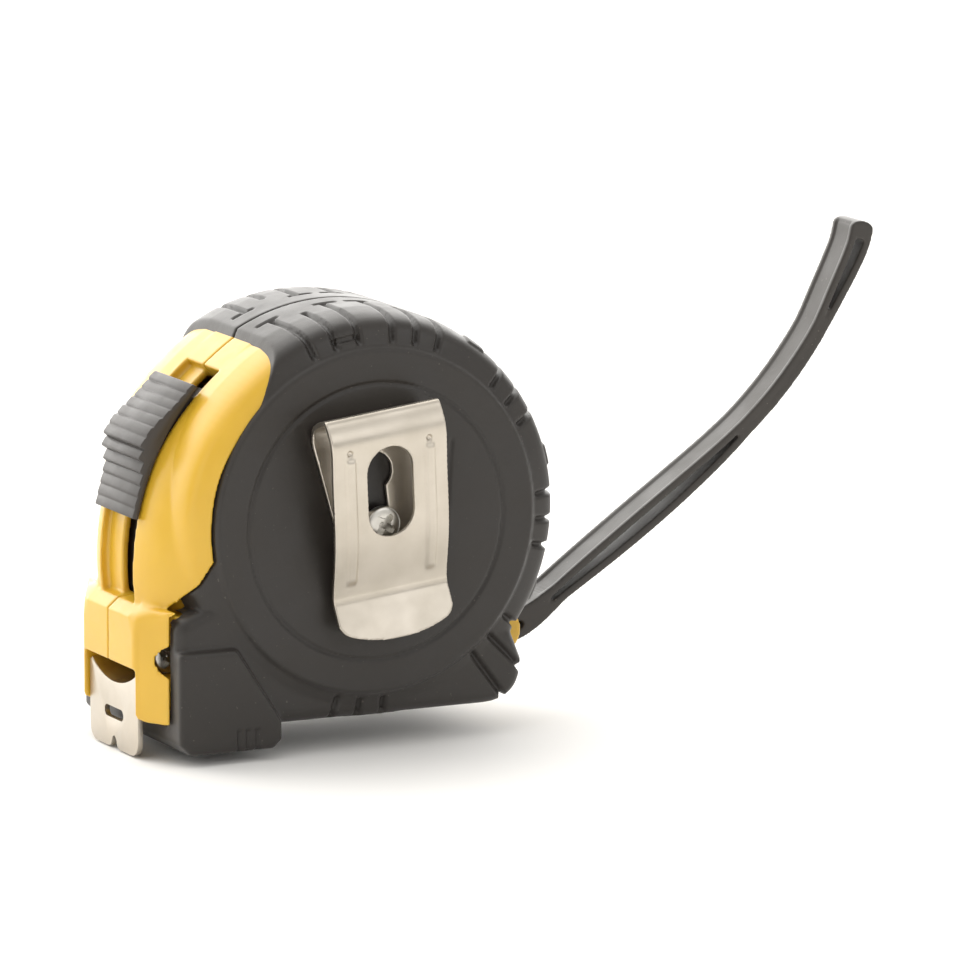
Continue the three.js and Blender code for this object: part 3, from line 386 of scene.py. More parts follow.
def front_body(grow):
    """The arched front and the nose: an outline, kept inside a turned form and a plan."""
    outline = [(0, 0), (0, COIL)]
    outline += [arc_point(a, ARC + grow) for a in np.arange(EDGE_FROM, SILL, 1.5)]
    outline += [arc_point(SILL, ARC + grow), (NOSE_X - grow, NOSE_TOP),
                (NOSE_X - grow, CHEEK_LOW + 1.6), (NOSE_X - grow + 0.5, CHEEK_LOW - grow + 0.5),
                (NOSE_X - grow + 1.6, CHEEK_LOW - grow), (JACKET_X + CHEEK_BLEND, CHEEK_LOW - grow)]
    shoulder, rim = SHOULDER - 0.8 + grow, ARC + grow
    arch = [(0, shoulder)] + rounded([(rim - 10, shoulder), (rim - 6, shoulder - 1.2),
                                      (rim - 3, shoulder - 4), (rim - 1, shoulder - 7.5),
                                      (rim, shoulder - 11)]) + [(rim, 0)]
    form = turned(both_sides(arch), 200, ARC_X, ARC_Z)
    join(form, block((-FAR, 0), (-FAR, FAR), (-FAR, arc_point(SILL, ARC)[1] + grow)),
         block((JACKET_X + 1.2, 0), (-FAR, FAR), (-FAR, NOSE_TOP + 3 + grow)))
    cheek = NOSE_HALF + CHEEK_WALL + grow
    side = [(NOSE_X - grow, -NOSE_HALF), (NOSE_X + 0.2, -cheek + 0.6), (NOSE_X + 0.7, -cheek),
            (JACKET_X, -cheek - CHEEK_SPREAD), (JACKET_X + CHEEK_BLEND, -shoulder),
            (30, -shoulder)]
    plan = side + [(x, -y) for x, y in side[::-1]]
    body = thicken(outline, -FAR, FAR)
    keep(body, form)
    return keep(body, thicken(plan, -FAR, FAR, Z))


def nose_root(grow):
    """The block under the jacket's front corner that the front screw clamps."""
    reach = ROOT_HALF + grow
    return block((JACKET_X + 2 * GAP - grow, ROOT_BACK), (-reach, reach),
                 (CHEEK_LOW - grow, NOSE_TOP + grow))


def bare_region(shift):
    """What lies in front of the jacket's edge."""
    edge = RING - shift
    start = math.radians(EDGE_FROM)
    outline = [(-FAR, FAR), (CROWN * 1.2 * math.cos(start) + shift, FAR),
               (CROWN * math.cos(start) + shift, CROWN * math.sin(start))]
    outline += [(edge * math.cos(math.radians(a)), edge * math.sin(math.radians(a)))
                for a in range(135, 191, 2)]
    outline += [(JACKET_X + BORDER_BACK + shift, BORDER_HIGH), (JACKET_X + shift, BORDER_LOW),
                (JACKET_X + shift, CHEEK_LOW - GAP), (-FAR, CHEEK_LOW - GAP)]
    return thicken(outline, -FAR, FAR)


def core_body(depth):
    """Everything that lies deeper than a depth under the jacket."""
    core = round_body(depth)
    return join(core, lower_body(depth), front_body(-depth), nose_root(SKIN - depth))


def strap_slot():
    """The room that the strap swings in, from the pin out through the heel."""
    room = STRAP_HALF + 2 * GAP
    outline = [(PIN_X - 4.6, PIN_Z - 3.6), (PIN_X - 2, PIN_Z - 5), (FAR, PIN_Z - FAR),
               (FAR, PIN_Z + FAR), (PIN_X - 1, PIN_Z + 7), (PIN_X - 4.6, PIN_Z + 3.6)]
    return thicken(outline, -room, room)


def strap_lug(grow):
    """The two ears that carry the strap's pin."""
    inner = STRAP_HALF + 2 * GAP
    outer, radius = inner + 4.3 + grow, 4 + grow
    ears = []
    for low, high in ((-outer, -inner + grow), (inner - grow, outer)):
        flare = [(PIN_X, PIN_Z + radius), (PIN_X - 8, PIN_Z + radius + 3),
                 (PIN_X - 8, PIN_Z - radius), (PIN_X, PIN_Z - radius)]
        ears.append(join(rod(radius, low, high, PIN_X, PIN_Z), thicken(flare, low, high)))
    return join(*ears)


def side_of(side):
    """The half space on one side of the parting plane: -1 is the clip side."""
    return block((-FAR, FAR), (-FAR, -GAP / 3) if side < 0 else (GAP / 3, FAR), (-FAR, FAR))


# %% [markdown]
# ## Materials
# One function adds a node with its settings and links. Colours are written as sRGB hex, the way a
# colour card gives them, and turned to linear light once, by one function.

# %% Material tools
def linear(hex_colour):
    """An sRGB hex colour as linear red, green, blue and alpha."""
    out = []
    for i in (1, 3, 5):
        c = int(hex_colour[i:i + 2], 16) / 255
        out.append(c / 12.92 if c <= 0.04045 else ((c + 0.055) / 1.055) ** 2.4)
    return (*out, 1)


def add(material, kind, links=None, **settings):
    """Adds a node: settings go to its sockets or properties, links join other nodes' outputs."""
    node = material.node_tree.nodes.new(kind)
    for key, value in settings.items():
        name = key.replace("_", " ")
        if hasattr(node, key):
            setattr(node, key, value)
        elif name in node.inputs:
            node.inputs[name].default_value = value
        else:
            raise KeyError(f"{kind} has no {key}")
    for socket, output in (links or {}).items():
        material.node_tree.links.new(output, node.inputs[socket])
    return node


def new_material(name, base, roughness, metallic=0.0, ior=1.5, **sockets):
    """A material with one principled shader, whose constant values are on its own sockets."""
    material = bpy.data.materials.new(name)
    material.use_nodes = True
    shader = material.node_tree.nodes["Principled BSDF"]
    shader.inputs["Base Color"].default_value = linear(base)
    shader.inputs["Roughness"].default_value = roughness
    shader.inputs["Metallic"].default_value = metallic
    if not metallic:
        shader.inputs["IOR"].default_value = ior
    for key, value in sockets.items():
        shader.inputs[key.replace("_", " ")].default_value = value
    return material, shader


def place_in(material):
    """The place on the piece, in metres, which doesn't change as the piece moves."""
    return add(material, "ShaderNodeTexCoord").outputs["Object"]


def noise(material, size_mm, detail=3.0, roughness=0.55, stretch=None):
    """Noise whose features are about a size in millimetres."""
    where = place_in(material)
    if stretch:
        where = add(material, "ShaderNodeMapping", {"Vector": where}, Scale=stretch).outputs[0]
    return add(material, "ShaderNodeTexNoise", {"Vector": where}, Scale=1 / (size_mm * MM),
               Detail=detail, Roughness=roughness).outputs["Fac"]


def mix_colours(material, factor, first, second):
    """A ramp from one colour to the other as a factor goes between two values."""
    value, low, high = factor
    node = add(material, "ShaderNodeValToRGB", {"Fac": value})
    start, end = node.color_ramp.elements
    start.position, end.position = low, high
    start.color, end.color = linear(first), linear(second)
    return node.outputs["Color"]


def remap(material, value, low, high, to_low, to_high):
    """A value's range, stretched to another one and held at its ends."""
    node = add(material, "ShaderNodeMapRange", {"Value": value}, From_Min=low, From_Max=high,
               To_Min=to_low, To_Max=to_high)
    return node.outputs["Result"]


def bump(material, height, depth_mm, strength, under=None):
    """Relief of a depth in millimetres, on top of another relief if there is one."""
    links = {"Height": height}
    if under:
        links["Normal"] = under
    return add(material, "ShaderNodeBump", links, Strength=strength,
               Distance=depth_mm * MM).outputs["Normal"]


def link(material, output, socket):
    """Joins a node's output to the principled shader."""
    shader = material.node_tree.nodes["Principled BSDF"]
    material.node_tree.links.new(output, shader.inputs[socket])


# %% [markdown]
# ### Thermoplastic rubber
# The jacket is thermoplastic rubber moulded over the shell. It is a very dark warm grey, matt, with
# a fine eroded texture from the mould, and a little dust clings to it. The grain, 0.35 mm across,
# softens the glints, and a 6 mm ripple gives the eye the slight unevenness of a soft moulding.

# %% Rubbers
def rubber_finish(name, low, high, dust, roughness):
    """Dark rubber: cloudy colour, specks of dust, a moulded grain and a slow ripple."""
    material, _ = new_material(name, low, roughness, Sheen_Weight=0.1, Sheen_Roughness=0.5)
    cloud = noise(material, 7.0, 4)
    body = mix_colours(material, (cloud, 0.3, 0.7), low, high)
    specks = noise(material, 0.55, 1, 0.4)
    dusted = add(material, "ShaderNodeMix", data_type="RGBA")
    share, clean, speck = dusted.inputs[0], dusted.inputs[6], dusted.inputs[7]
    speck.default_value = linear(dust)
    material.node_tree.links.new(body, clean)
    material.node_tree.links.new(remap(material, specks, 0.74, 0.8, 0, 0.5), share)
    link(material, dusted.outputs[2], "Base Color")
    link(material, remap(material, cloud, 0.3, 0.7, roughness - 0.06, roughness + 0.08),
         "Roughness")
    grain = noise(material, 0.35, 3, 0.6)
    ripple = noise(material, 6.0, 2)
    fine = bump(material, grain, 0.03, 0.5)
    link(material, bump(material, ripple, 0.25, 0.35, fine), "Normal")
    return material


# Satin black-brown rubber: the light it shows is mostly reflected, so its crown looks pale grey.
JACKET_RUBBER = rubber_finish("moulded_tpr_rubber", "#1F1A16", "#25201B", "#5A524B", 0.42)
# The strap is a softer rubber, so it is a shade greyer.
STRAP_RUBBER = rubber_finish("moulded_strap_rubber", "#2A2520", "#322D28", "#6E675F", 0.42)

# %% [markdown]
# ### ABS
# The shells are injection-moulded ABS in a warm yellow. The mould is polished, so the surface is
# satin, with faint sink and flow marks, and light scatters a little way into the plastic.

# %% ABS plastics
def abs_finish(name, low, high, roughness, scatter):
    """Moulded ABS: slow colour and gloss changes from the flow of the plastic."""
    material, shader = new_material(name, low, roughness, ior=1.53, Subsurface_Weight=scatter,
                                    Subsurface_Scale=0.002, Coat_Weight=0.14, Coat_Roughness=0.25)
    if scatter:
        shader.inputs["Subsurface Radius"].default_value = (1.0, 0.55, 0.15)
    cloud = noise(material, 12.0, 3)
    link(material, mix_colours(material, (cloud, 0.3, 0.7), low, high), "Base Color")
    link(material, remap(material, noise(material, 3.0, 4), 0.3, 0.7, roughness - 0.05,
                         roughness + 0.06), "Roughness")
    fine = bump(material, noise(material, 0.18, 2), 0.008, 0.35)
    link(material, bump(material, noise(material, 8.0, 2), 0.12, 0.3, fine), "Normal")
    return material


# The yellow is satin and glows a little at its edges. The greys are duller and don't scatter.
YELLOW_ABS = abs_finish("moulded_yellow_abs", "#CFA429", "#D5AA30", 0.34, 0.1)
GREY_ABS = abs_finish("moulded_grey_abs", "#2E2A27", "#35302D", 0.5, 0.0)
DARK_ABS = abs_finish("moulded_dark_abs", "#2A2725", "#34302D", 0.4, 0.0)

# %% [markdown]
# ### Plated steel
# The clip and hook are steel strip, nickel plated, with a satin face from rolling: fine lines run
# along the strip and stretch its highlights. The screws are zinc plated, with a coarse even grain.
# Rolling lines are under 0.05 mm wide, too fine to show, so they are drawn 0.12 mm wide.

# %% Steels
def steel_finish(name, low, high, roughness, grain, lines_mm=0.12):
    """Plated steel: lines of a width that follow the grain, and gloss that changes in patches."""
    material, _ = new_material(name, low, roughness, metallic=1.0)
    cloud = noise(material, 6.0, 4)
    link(material, mix_colours(material, (cloud, 0.3, 0.7), low, high), "Base Color")
    lines = noise(material, lines_mm, 3, 0.6, stretch=grain)
    smudge = noise(material, 5.0, 3)
    rough = remap(material, smudge, 0.3, 0.7, roughness - 0.05, roughness + 0.06)
    link(material, rough, "Roughness")
    link(material, bump(material, lines, 0.004, 0.5), "Normal")
    return material


NICKEL_STEEL = steel_finish("satin_nickel_plated_steel", "#BEB6A9", "#C8C0B4", 0.34,
                            (1, 1, 0.05))
ZINC_STEEL = steel_finish("zinc_plated_steel", "#C2BFB8", "#D2CFC8", 0.3, (1, 1, 1), 0.5)
SPRING_STEEL = steel_finish("blued_spring_steel", "#4A4E57", "#5A5E66", 0.3, (0.05, 1, 1))

# %% [markdown]
# ### Enamelled tape
# The tape is steel strip with yellow enamel, printed in black and clear coated. The millimetre
# marks are worked out from the place along the tape, so they are at their true spacing.

# %% Tape enamel
def tape_enamel():
    """Yellow enamel with black marks every 1, 5 and 10 mm from the near edge."""
    material, _ = new_material("enamelled_tape_steel", "#F0D24A", 0.3, Coat_Weight=0.5,
                               Coat_Roughness=0.12)
    parts = add(material, "ShaderNodeSeparateXYZ", {"Vector": place_in(material)})
    along, across = parts.outputs["X"], parts.outputs["Y"]

    def maths(operation, first, second=0.0):
        links = {0: first} if isinstance(second, float) else {0: first, 1: second}
        node = add(material, "ShaderNodeMath", links, operation=operation)
        if len(links) == 1:
            node.inputs[1].default_value = second
        return node.outputs[0]

    def marks(pitch_mm, width_mm, reach_mm):
        """Dark lines at a pitch, from the tape's edge to a reach."""
        part = maths("FRACT", maths("MULTIPLY", along, 1 / (pitch_mm * MM)))
        thin = maths("LESS_THAN", part, width_mm / pitch_mm)
        near = maths("LESS_THAN", across, (-HALF - TAPE_HALF + reach_mm) * MM)
        return maths("MULTIPLY", thin, near)

    ink = maths("MAXIMUM", marks(1, 0.22, 4), marks(5, 0.25, 6))
    ink = maths("MAXIMUM", ink, marks(10, 0.3, 9))
    link(material, mix_colours(material, (ink, 0.4, 0.6), "#F0D24A", "#1E1C1A"),
         "Base Color")
    return material


TAPE_ENAMEL = tape_enamel()
print("materials:", [m.name for m in bpy.data.materials])

# %% [markdown]
# ## The shells
# Each yellow shell half shows at the front only. It is cut as the mould would form it: the arched
# front, the window for the lock, the mouth, and the counterbore of the front screw. The arch and
# the nose meet in a step, so the points there are smoothed with a weight: a fillet by hand.

# %% The shells
SCREW_X, SCREW_Z = JACKET_X + 1.3, MOUTH_TOP + 2.0
HEAD_ROOM, SHANK_ROOM = 3.1, 1.6
PIN_HOLE = 1.5
RAIL_IN, RAIL_OUT, RAIL_HALF = ARC - 6.5, ARC - 3.3, 7.9
HOOK_SHEET = 0.9


def shell(side):
    """One shell half: side is -1 for the clip's side and 1 for the plain side."""
    front = keep(join(front_body(0), round_body(0)), bare_region(-GAP))
    body = join(front, core_body(SKIN))
    spool_room = rod(CROWN - WALL, -HALF + WALL, HALF - WALL)
    passage = TAPE_HALF + 2 * GAP
    lip = HOOK_FACE + HOOK_SHEET + GAP
    cut(body, spool_room,
        block((-FAR, 0), (-passage, passage), (MOUTH_TOP - 7.4, MOUTH_TOP)),
        block((-FAR, lip), (-passage, passage), (-FAR, MOUTH_TOP)),
        arc_band(WINDOW_FROM - 3, SILL + 24, RAIL_IN, RAIL_OUT, -RAIL_HALF, RAIL_HALF),
        arc_band(WINDOW_FROM, SILL, ARC - 4.3, ARC + 9, -WINDOW_HALF, WINDOW_HALF))
    if side > 0:
        join(body, arc_band(WINDOW_FROM - 1, SILL + 1, ARC - 2.7, ARC - 1.5, 1.2, WINDOW_HALF + 1))
    join(body, strap_lug(0))
    cut(body, strap_slot(), rod(PIN_HOLE, -8, 8, PIN_X, PIN_Z))
    if side < 0:
        cut(body, rod(HEAD_ROOM, -FAR, -NOSE_HALF - 0.4, SCREW_X, SCREW_Z),
            rod(SHANK_ROOM, -FAR, FAR, SCREW_X, SCREW_Z), rod(SHANK_ROOM, -FAR, 0))
    return keep(body, side_of(side))


def blend_sill(made):
    """Smooths the step where the arch meets the nose, but not the edge at the jacket."""
    co = points_of(made)
    weight = ramp(np.abs(co[:, 1]), 8.2, 9.2) * ramp(co[:, 2], NOSE_TOP - 3, NOSE_TOP - 1)
    rise = (co[:, 2] - BORDER_LOW) / (BORDER_HIGH - BORDER_LOW)
    border = JACKET_X + BORDER_BACK * np.clip(rise, 0, 1)
    weight *= (1 - ramp(co[:, 2], -4, 5)) * (1 - ramp(co[:, 0] - border, -2.2, -0.9))
    soften(made, weight, 110)


def sink_crown_end(made, depth=1.1):
    """Lowers the arch where it meets the crown, so that the rubber's edge stands proud of it."""
    co = points_of(made)
    from_arc = co[:, ::2] - (ARC_X, ARC_Z)
    reach = np.linalg.norm(from_arc, axis=1)
    turn = np.degrees(np.arctan2(from_arc[:, 1], from_arc[:, 0])) % 360
    sink = depth * (1 - ramp(turn, 128, 158)) * ramp(turn, 100, 108)
    sink *= ramp(reach, ARC - 9, ARC - 6)
    co[:, ::2] -= from_arc / reach[:, None] * sink[:, None]
    set_points(made, co)


for label, side in SIDES.items():
    made = moulded(shell(side), 0.28, 4)
    blend_sill(made)
    sink_crown_end(made)
    finish_piece(made, f"case_shell_{label}", YELLOW_ABS, "case", f"shell_{label}")

# %% [markdown]
# ## The rubber jacket
# The jacket wraps the round body like a tyre. Its tread is six groups of three grooves that run
# over the shoulder and on to the crown, with short dashes beside the seam and a small raised
# pad in three of the plain stretches. The grooves are pressed into the even mesh point by point,
# because a formula in polar angle is simpler than a cutter for every groove.

# %% The rubber jacket
TREAD_GROUPS = (103, 75.6, 35.8, -4.3, -45, -95)
TREAD_PITCH = 8
RAISED_PADS = (54, 14, -26)
SEAM_END, MIDDLE_END = 4.5, 7.5
DISC_GROOVE, BORDER_LINE = 22.7, 12.6
FOOT_GROOVES = (-21.4, -23.0, -24.6)


def turn_from(angle, middle):
    """How far an angle is from another one, from -180 to 180 degrees."""
    return (angle - middle + 180) % 360 - 180


def tread(obj):
    """Presses the grooves into the jacket and raises its pads, by polar angle and place."""
    co, nor = points_of(obj), normals_of(obj)
    x, y, z = co[:, 0], np.abs(co[:, 1]), co[:, 2]
    radius = np.hypot(x, z)
    angle = np.degrees(np.arctan2(z, x))
    outside = ramp(radius, RING + 0.2, RING + 1.2) * (nor[:, 0] * x + nor[:, 2] * z
                                                      + nor[:, 1] * co[:, 1] > 0)
    depth = np.zeros(len(co))
    for middle in TREAD_GROUPS:
        for step in (-1, 0, 1):
            arc = np.radians(turn_from(angle, middle + step * TREAD_PITCH)) * radius
            inner_end = SEAM_END if step else MIDDLE_END
            depth += 0.85 * ridge(arc, 0.5) * ramp(y, inner_end, inner_end + 0.8)
        arc = np.abs(np.radians(turn_from(angle, middle))) * radius
        dash = ridge(y - SEAM_END - 0.2, 0.45) * (1 - ramp(arc, 7.0, 7.6)) * ramp(arc, 3.0, 3.6)
        depth += 0.5 * dash
    for middle in RAISED_PADS:
        arc = np.abs(np.radians(turn_from(angle, middle))) * radius
        depth -= 0.32 * (1 - ramp(arc, 1.5, 1.9)) * (1 - ramp(np.abs(y - 14.8), 1.3, 1.8))
    first = np.abs(turn_from(angle, TREAD_GROUPS[0] - TREAD_PITCH / 2)) * radius
    depth += 0.55 * ridge(radius - RING - 1.9, 0.5) * (1 - ramp(first, 120, 140))
    depth *= outside * (z > UNDER + 0.3)

    flank = y > HALF - 0.4
    depth += 0.32 * ridge(radius - DISC_GROOVE, 0.28) * flank * (nor[:, 1] * co[:, 1] > 0)
    foot = (x < JACKET_X + 18) * (y > SHOULDER) * (z < UNDER) * (radius > RING)
    for place in FOOT_GROOVES:
        depth += 0.4 * ridge(x - place, 0.35) * foot
    line = ridge(x - BORDER_LINE - 0.07 * z, 0.3) * ramp(z, -9, -8) * (1 - ramp(z, 12, 13))
    depth += 0.3 * line * flank * (co[:, 1] < 0)
    set_points(obj, co - nor * depth[:, None])


def jacket(side):
    """One jacket half: the outer forms, less the core, the bare front and what passes through."""
    body = round_body(0)
    join(body, lower_body(0), foot_block(), flank_disc())
    passage = TAPE_HALF + 2 * GAP
    root_room = nose_root(GAP)
    root_room.data.transform(Matrix.Translation((-4 * GAP, 0, 0)))
    cut(body, core_body(SKIN - GAP), bare_region(0), strap_slot(), strap_lug(GAP), root_room,
        block((-FAR, HOOK_FACE + 1.8), (-passage, passage), (-FAR, MOUTH_TOP)))
    if side < 0:
        cut(body, rod(SHANK_ROOM, -FAR, 0))
    return keep(body, side_of(side))


for label, side in SIDES.items():
    made = moulded(jacket(side), 0.3, 6)
    tread(made)
    finish_piece(made, f"rubber_jacket_{label}", JACKET_RUBBER, "case", f"jacket_{label}")

# %% [markdown]
# ## The inner pieces and the plain metal
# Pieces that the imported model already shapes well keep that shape, with a small bevel, because a
# real edge always catches a little light.

# %% Carried-over pieces
def dress(node, material, width_mm):
    """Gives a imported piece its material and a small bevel."""
    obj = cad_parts[node]
    obj.data.materials.clear()
    obj.data.materials.append(material)
    if width_mm:
        step = obj.modifiers.new("edge", "BEVEL")
        step.width, step.segments = width_mm * MM, 2
        step.limit_method, step.angle_limit = "ANGLE", math.radians(35)
        step.harden_normals = True
    obj.data.shade_smooth()
    obj.data.set_sharp_from_angle(angle=math.radians(35))


DRESSED = {
    "centre_post": SPRING_STEEL, "power_spring": SPRING_STEEL, "drum": DARK_ABS,
    "drum_cover": DARK_ABS, "tape_coil": TAPE_ENAMEL, "tape_blade": TAPE_ENAMEL,
    "hook_rivet_1": ZINC_STEEL, "hook_rivet_2": ZINC_STEEL,
    "hook_bumper": JACKET_RUBBER, "strap_pin": ZINC_STEEL,
    "case_screw_2": ZINC_STEEL, "case_screw_3": ZINC_STEEL, "case_screw_4": ZINC_STEEL,
    "lock_slider": GREY_ABS,
}
for node, material in DRESSED.items():
    dress(node, material, 0.0 if node in ("tape_blade", "power_spring") else 0.08)
print("dressed", len(DRESSED), "packed pieces")

# %% [markdown]
# ## The thumb lock
# The lock's pad is a stair of thirteen ribs that climbs to a hump for the thumb and falls away
# below it. Each rib is a flat land with a small lip, because a moulded grip needs a sharp edge only
# on the side that the thumb pushes.

# %% The thumb lock
PAD_RIBS = 13
LAND, HUMP = 1.0, 2.3
CLIMB, FALL = 0.24, 0.15


def lock_pad():
    """The pad with its ribs, and the neck that goes through the window to the slider."""
    base = ARC + GAP
    outline = [arc_point(PAD_FROM, base)]
    for i in range(PAD_RIBS):
        share = (i + 0.5) / PAD_RIBS
        spread = CLIMB if share < 0.5 else FALL
        top = base + LAND + HUMP * math.exp(-(((share - 0.5) / spread) ** 2))
        lip = 0.2 if share < 0.6 else 0.08
        start = PAD_FROM + (PAD_TO - PAD_FROM) * i / PAD_RIBS
        end = PAD_FROM + (PAD_TO - PAD_FROM) * (i + 1) / PAD_RIBS
        outline += [arc_point(start + 0.2, top - lip), arc_point(start + 0.5, top),
                    arc_point(end - 0.4, top + lip), arc_point(end - 0.1, top + 0.4 * lip)]
    outline += [arc_point(PAD_TO + (PAD_FROM - PAD_TO) * i / 24, base) for i in range(24)]
    neck = arc_band(PAD_FROM + 2, PAD_TO - 2, RAIL_OUT, base + GAP, -WINDOW_HALF + GAP, 0.9)
    return bevel(join(thicken(outline, -PAD_HALF, PAD_HALF), neck), 0.1, 2, 40)


pad = lock_pad()
finish_piece(pad, "ribbed_lock_pad", GREY_ABS, "lock", "thumb_lock")
pad.data.set_sharp_from_angle(angle=math.radians(40))

# %% [markdown]
# ## The belt clip
# The clip is one strip, bent double at the top, with an oblong window in the front leaf and a
# keyhole in the back one. Two ribs are pressed into the front leaf to stiffen it, with a small
# pit above each. It is built as a fine sheet along its bent middle line. The holes and pits are
# drilled through it afterwards, as the press would.

# %% The belt clip
CLIP_TURN = math.radians(-6.6)
CLIP_HALF = 10.2
SHEET = 0.8
CLIP_TOP, CLIP_LOW, CREASE = 19.6, -18.6, -11.4
LEAF_SPACE, FOLD = 7.4, 4.1
RIB_PLACE, RIB_HEIGHT = 7.1, 0.42
CLIP_WINDOW = (4.1, -1.4, 13.9)
KEY_HEAD, KEY_SLOT, KEY_RISE = 3.2, 1.8, 8.6
PIT_RADIUS, PIT_Z = 0.5, 14.0


def strip_line():
    """The strip's middle line as (y, z) points, from the back leaf's end to the flared foot."""
    back = -HALF - GAP - SHEET / 2
    front, touch = back - LEAF_SPACE, back - SHEET - 2 * GAP
    fold, top = FOLD, CLIP_TOP - SHEET / 2
    length = top - CREASE

    def lean(share):
        return front + (touch - front) * share

    return rounded([
        (back, -6), (back, 0), (back, CLIP_TOP / 2), (back, top - fold),
        (back - fold / 3, top - fold / 3), (front + fold / 2, top),
        (front + fold / 4, top - fold / 5), (front, top - fold),
        (lean(0.18), top - length / 3), (lean(0.48), CREASE + length / 3),
        (lean(0.94), CREASE + fold / 2), (touch, CREASE),
        (touch - 0.6, CREASE - fold / 2), (touch - 2.4, CLIP_LOW)], 16)


def clip_sheet():
    """Two grids of points, half a thickness to each side of the line, closed round the edges."""
    line = np.array(strip_line())
    across = np.linspace(-CLIP_HALF, CLIP_HALF, 103)
    way = np.gradient(line, axis=0)
    way /= np.linalg.norm(way, axis=1)[:, None]
    normal = np.stack([way[:, 1], -way[:, 0]], axis=1)
    on_front = line[:, 0] < -HALF - 2.2
    in_rib = ramp(line[:, 1], -9.0, -7.4) * (1 - ramp(line[:, 1], 12.4, 13.4)) * on_front
    points = []
    for sign in (1, -1):
        for (y, z), n, rib in zip(line, normal, in_rib):
            beside = np.abs(np.abs(across) - RIB_PLACE)
            bulge = RIB_HEIGHT * rib * (1 - ramp(beside, 0.5, 1.1))
            lift = sign * SHEET / 2 + bulge
            points += [(x, y + n[0] * k, z + n[1] * k) for x, k in zip(across, lift)]
    rows, columns = len(line), len(across)

    def at(layer, i, j):
        return (layer * rows + i) * columns + j

    faces = [(at(k, i, j), at(k, i, j + 1), at(k, i + 1, j + 1), at(k, i + 1, j))
             for k in (0, 1) for i in range(rows - 1) for j in range(columns - 1)]
    faces += [(at(0, i, j), at(0, i + 1, j), at(1, i + 1, j), at(1, i, j))
              for i in range(rows - 1) for j in (0, columns - 1)]
    faces += [(at(0, i, j), at(0, i, j + 1), at(1, i, j + 1), at(1, i, j))
              for i in (0, rows - 1) for j in range(columns - 1)]
    return mesh_object("clip", points, faces)


def oblong(half, low, high, y_low, y_high):
    """A cutter with round ends, from one height to another."""
    ends = join(rod(half, y_low, y_high, 0, low + half), rod(half, y_low, y_high, 0, high - half))
    return join(ends, block((-half, half), (y_low, y_high), (low + half, high - half)))


clip = clip_sheet()
leaves = -HALF - GAP - SHEET - GAP
narrow = CLIP_HALF - 3.4
for s in (-1, 1):
    cut(clip, thicken([(s * FAR, 15.1), (s * CLIP_HALF, 15.1), (s * narrow, -6), (s * narrow, -FAR),
                       (s * FAR, -FAR)], leaves, 0))
cut(clip, join(rod(KEY_HEAD, leaves, 0, 0, KEY_RISE), rod(KEY_SLOT, leaves, 0),
               block((-KEY_SLOT, KEY_SLOT), (leaves, 0), (0, KEY_RISE))),
    oblong(*CLIP_WINDOW, -FAR, leaves))
for s in (-1, 1):
    cut(clip, rod(PIT_RADIUS, -FAR, leaves - 6.6, RIB_PLACE * s, PIT_Z))
foot_edge = [(-FAR, -FAR), (-FAR, CLIP_LOW + 3.3)]
foot_edge += [(CLIP_HALF * t, CLIP_LOW + 2.2 * t * t + 1.1 * abs(t) ** 18)
              for t in np.linspace(-1, 1, 61)]
foot_edge += [(FAR, CLIP_LOW + 3.3), (FAR, -FAR)]
cut(clip, thicken(foot_edge, -FAR, 0))
moulded(clip, 0.17, 1)
clip.data.transform(Matrix.Rotation(CLIP_TURN, 4, "Y"))
finish_piece(clip, "belt_clip_strip", NICKEL_STEEL, "case", "belt_clip")

# %% [markdown]
# ## Screws
# The screws are zinc-plated pan heads with a cross recess. The dome and the tapered recess matter,
# because the light in the recess is what makes a small round thing read as a screw.

# %% Screws
HEAD_HEIGHT, SHANK_RADIUS = 1.7, 1.3


def pan_screw(seat, x, z, radius, length):
    """A screw whose head's underside is at the seat and whose shank runs on to a length."""
    top = seat - HEAD_HEIGHT
    profile = [(0, top)] + rounded([(radius * 0.6, top + 0.02), (radius * 0.88, top + 0.16),
                                    (radius, top + 0.5), (radius, seat - 0.1)])
    profile += [(radius - 0.1, seat), (SHANK_RADIUS, seat), (SHANK_RADIUS, seat + length),
                (0, seat + length)]
    screw = turned(profile[::-1], 96, x, z)
    for turn in (0, 90):
        outline = [(-1.95, -0.36), (-1.4, -0.6), (1.4, -0.6), (1.95, -0.36),
                   (1.95, 0.36), (1.4, 0.6), (-1.4, 0.6), (-1.95, 0.36)]
        wedge = thicken(outline, top - 1, top + 1.2)
        wedge.data.transform(Matrix.Rotation(math.radians(turn + 38), 4, "Y"))
        wedge.data.transform(Matrix.Translation((x, 0, z)))
        cut(screw, wedge)
    cut(screw, turned([(0, top - 1), (1.1, top - 1), (1.1, top), (0, top + 1.6)], 24, x, z))
    return bevel(screw, 0.08, 2, 45)


clip_screw = pan_screw(-HALF - 2 * GAP - SHEET, 0, 0, 2.9, 8)
finish_piece(clip_screw, "clip_pan_screw", ZINC_STEEL, "case", "clip_screw")
seat = -ROOT_HALF + 3.4
case_screw = pan_screw(seat, SCREW_X, SCREW_Z, 2.5, -seat + 10.5)
finish_piece(case_screw, "case_pan_screw", ZINC_STEEL, "case", "case_screw_1")
for obj in (clip_screw, case_screw):
    obj.data.set_sharp_from_angle(angle=math.radians(30))

# %% [markdown]
# ## The end hook
# The hook is a thick stamped plate with rounded lobes, a slot for a nail's head and a nick for the
# tip of a scriber. Its upper edge follows the curve of the tape, and its flange lies on the tape.

# %% The end hook
FLANGE_LOW, FLANGE_SHEET, FLANGE_LENGTH = -27.2, 0.6, 13.9
SLOT_PLACE, SLOT_RADIUS, SLOT_RISE = 2.8, 0.95, 5.8


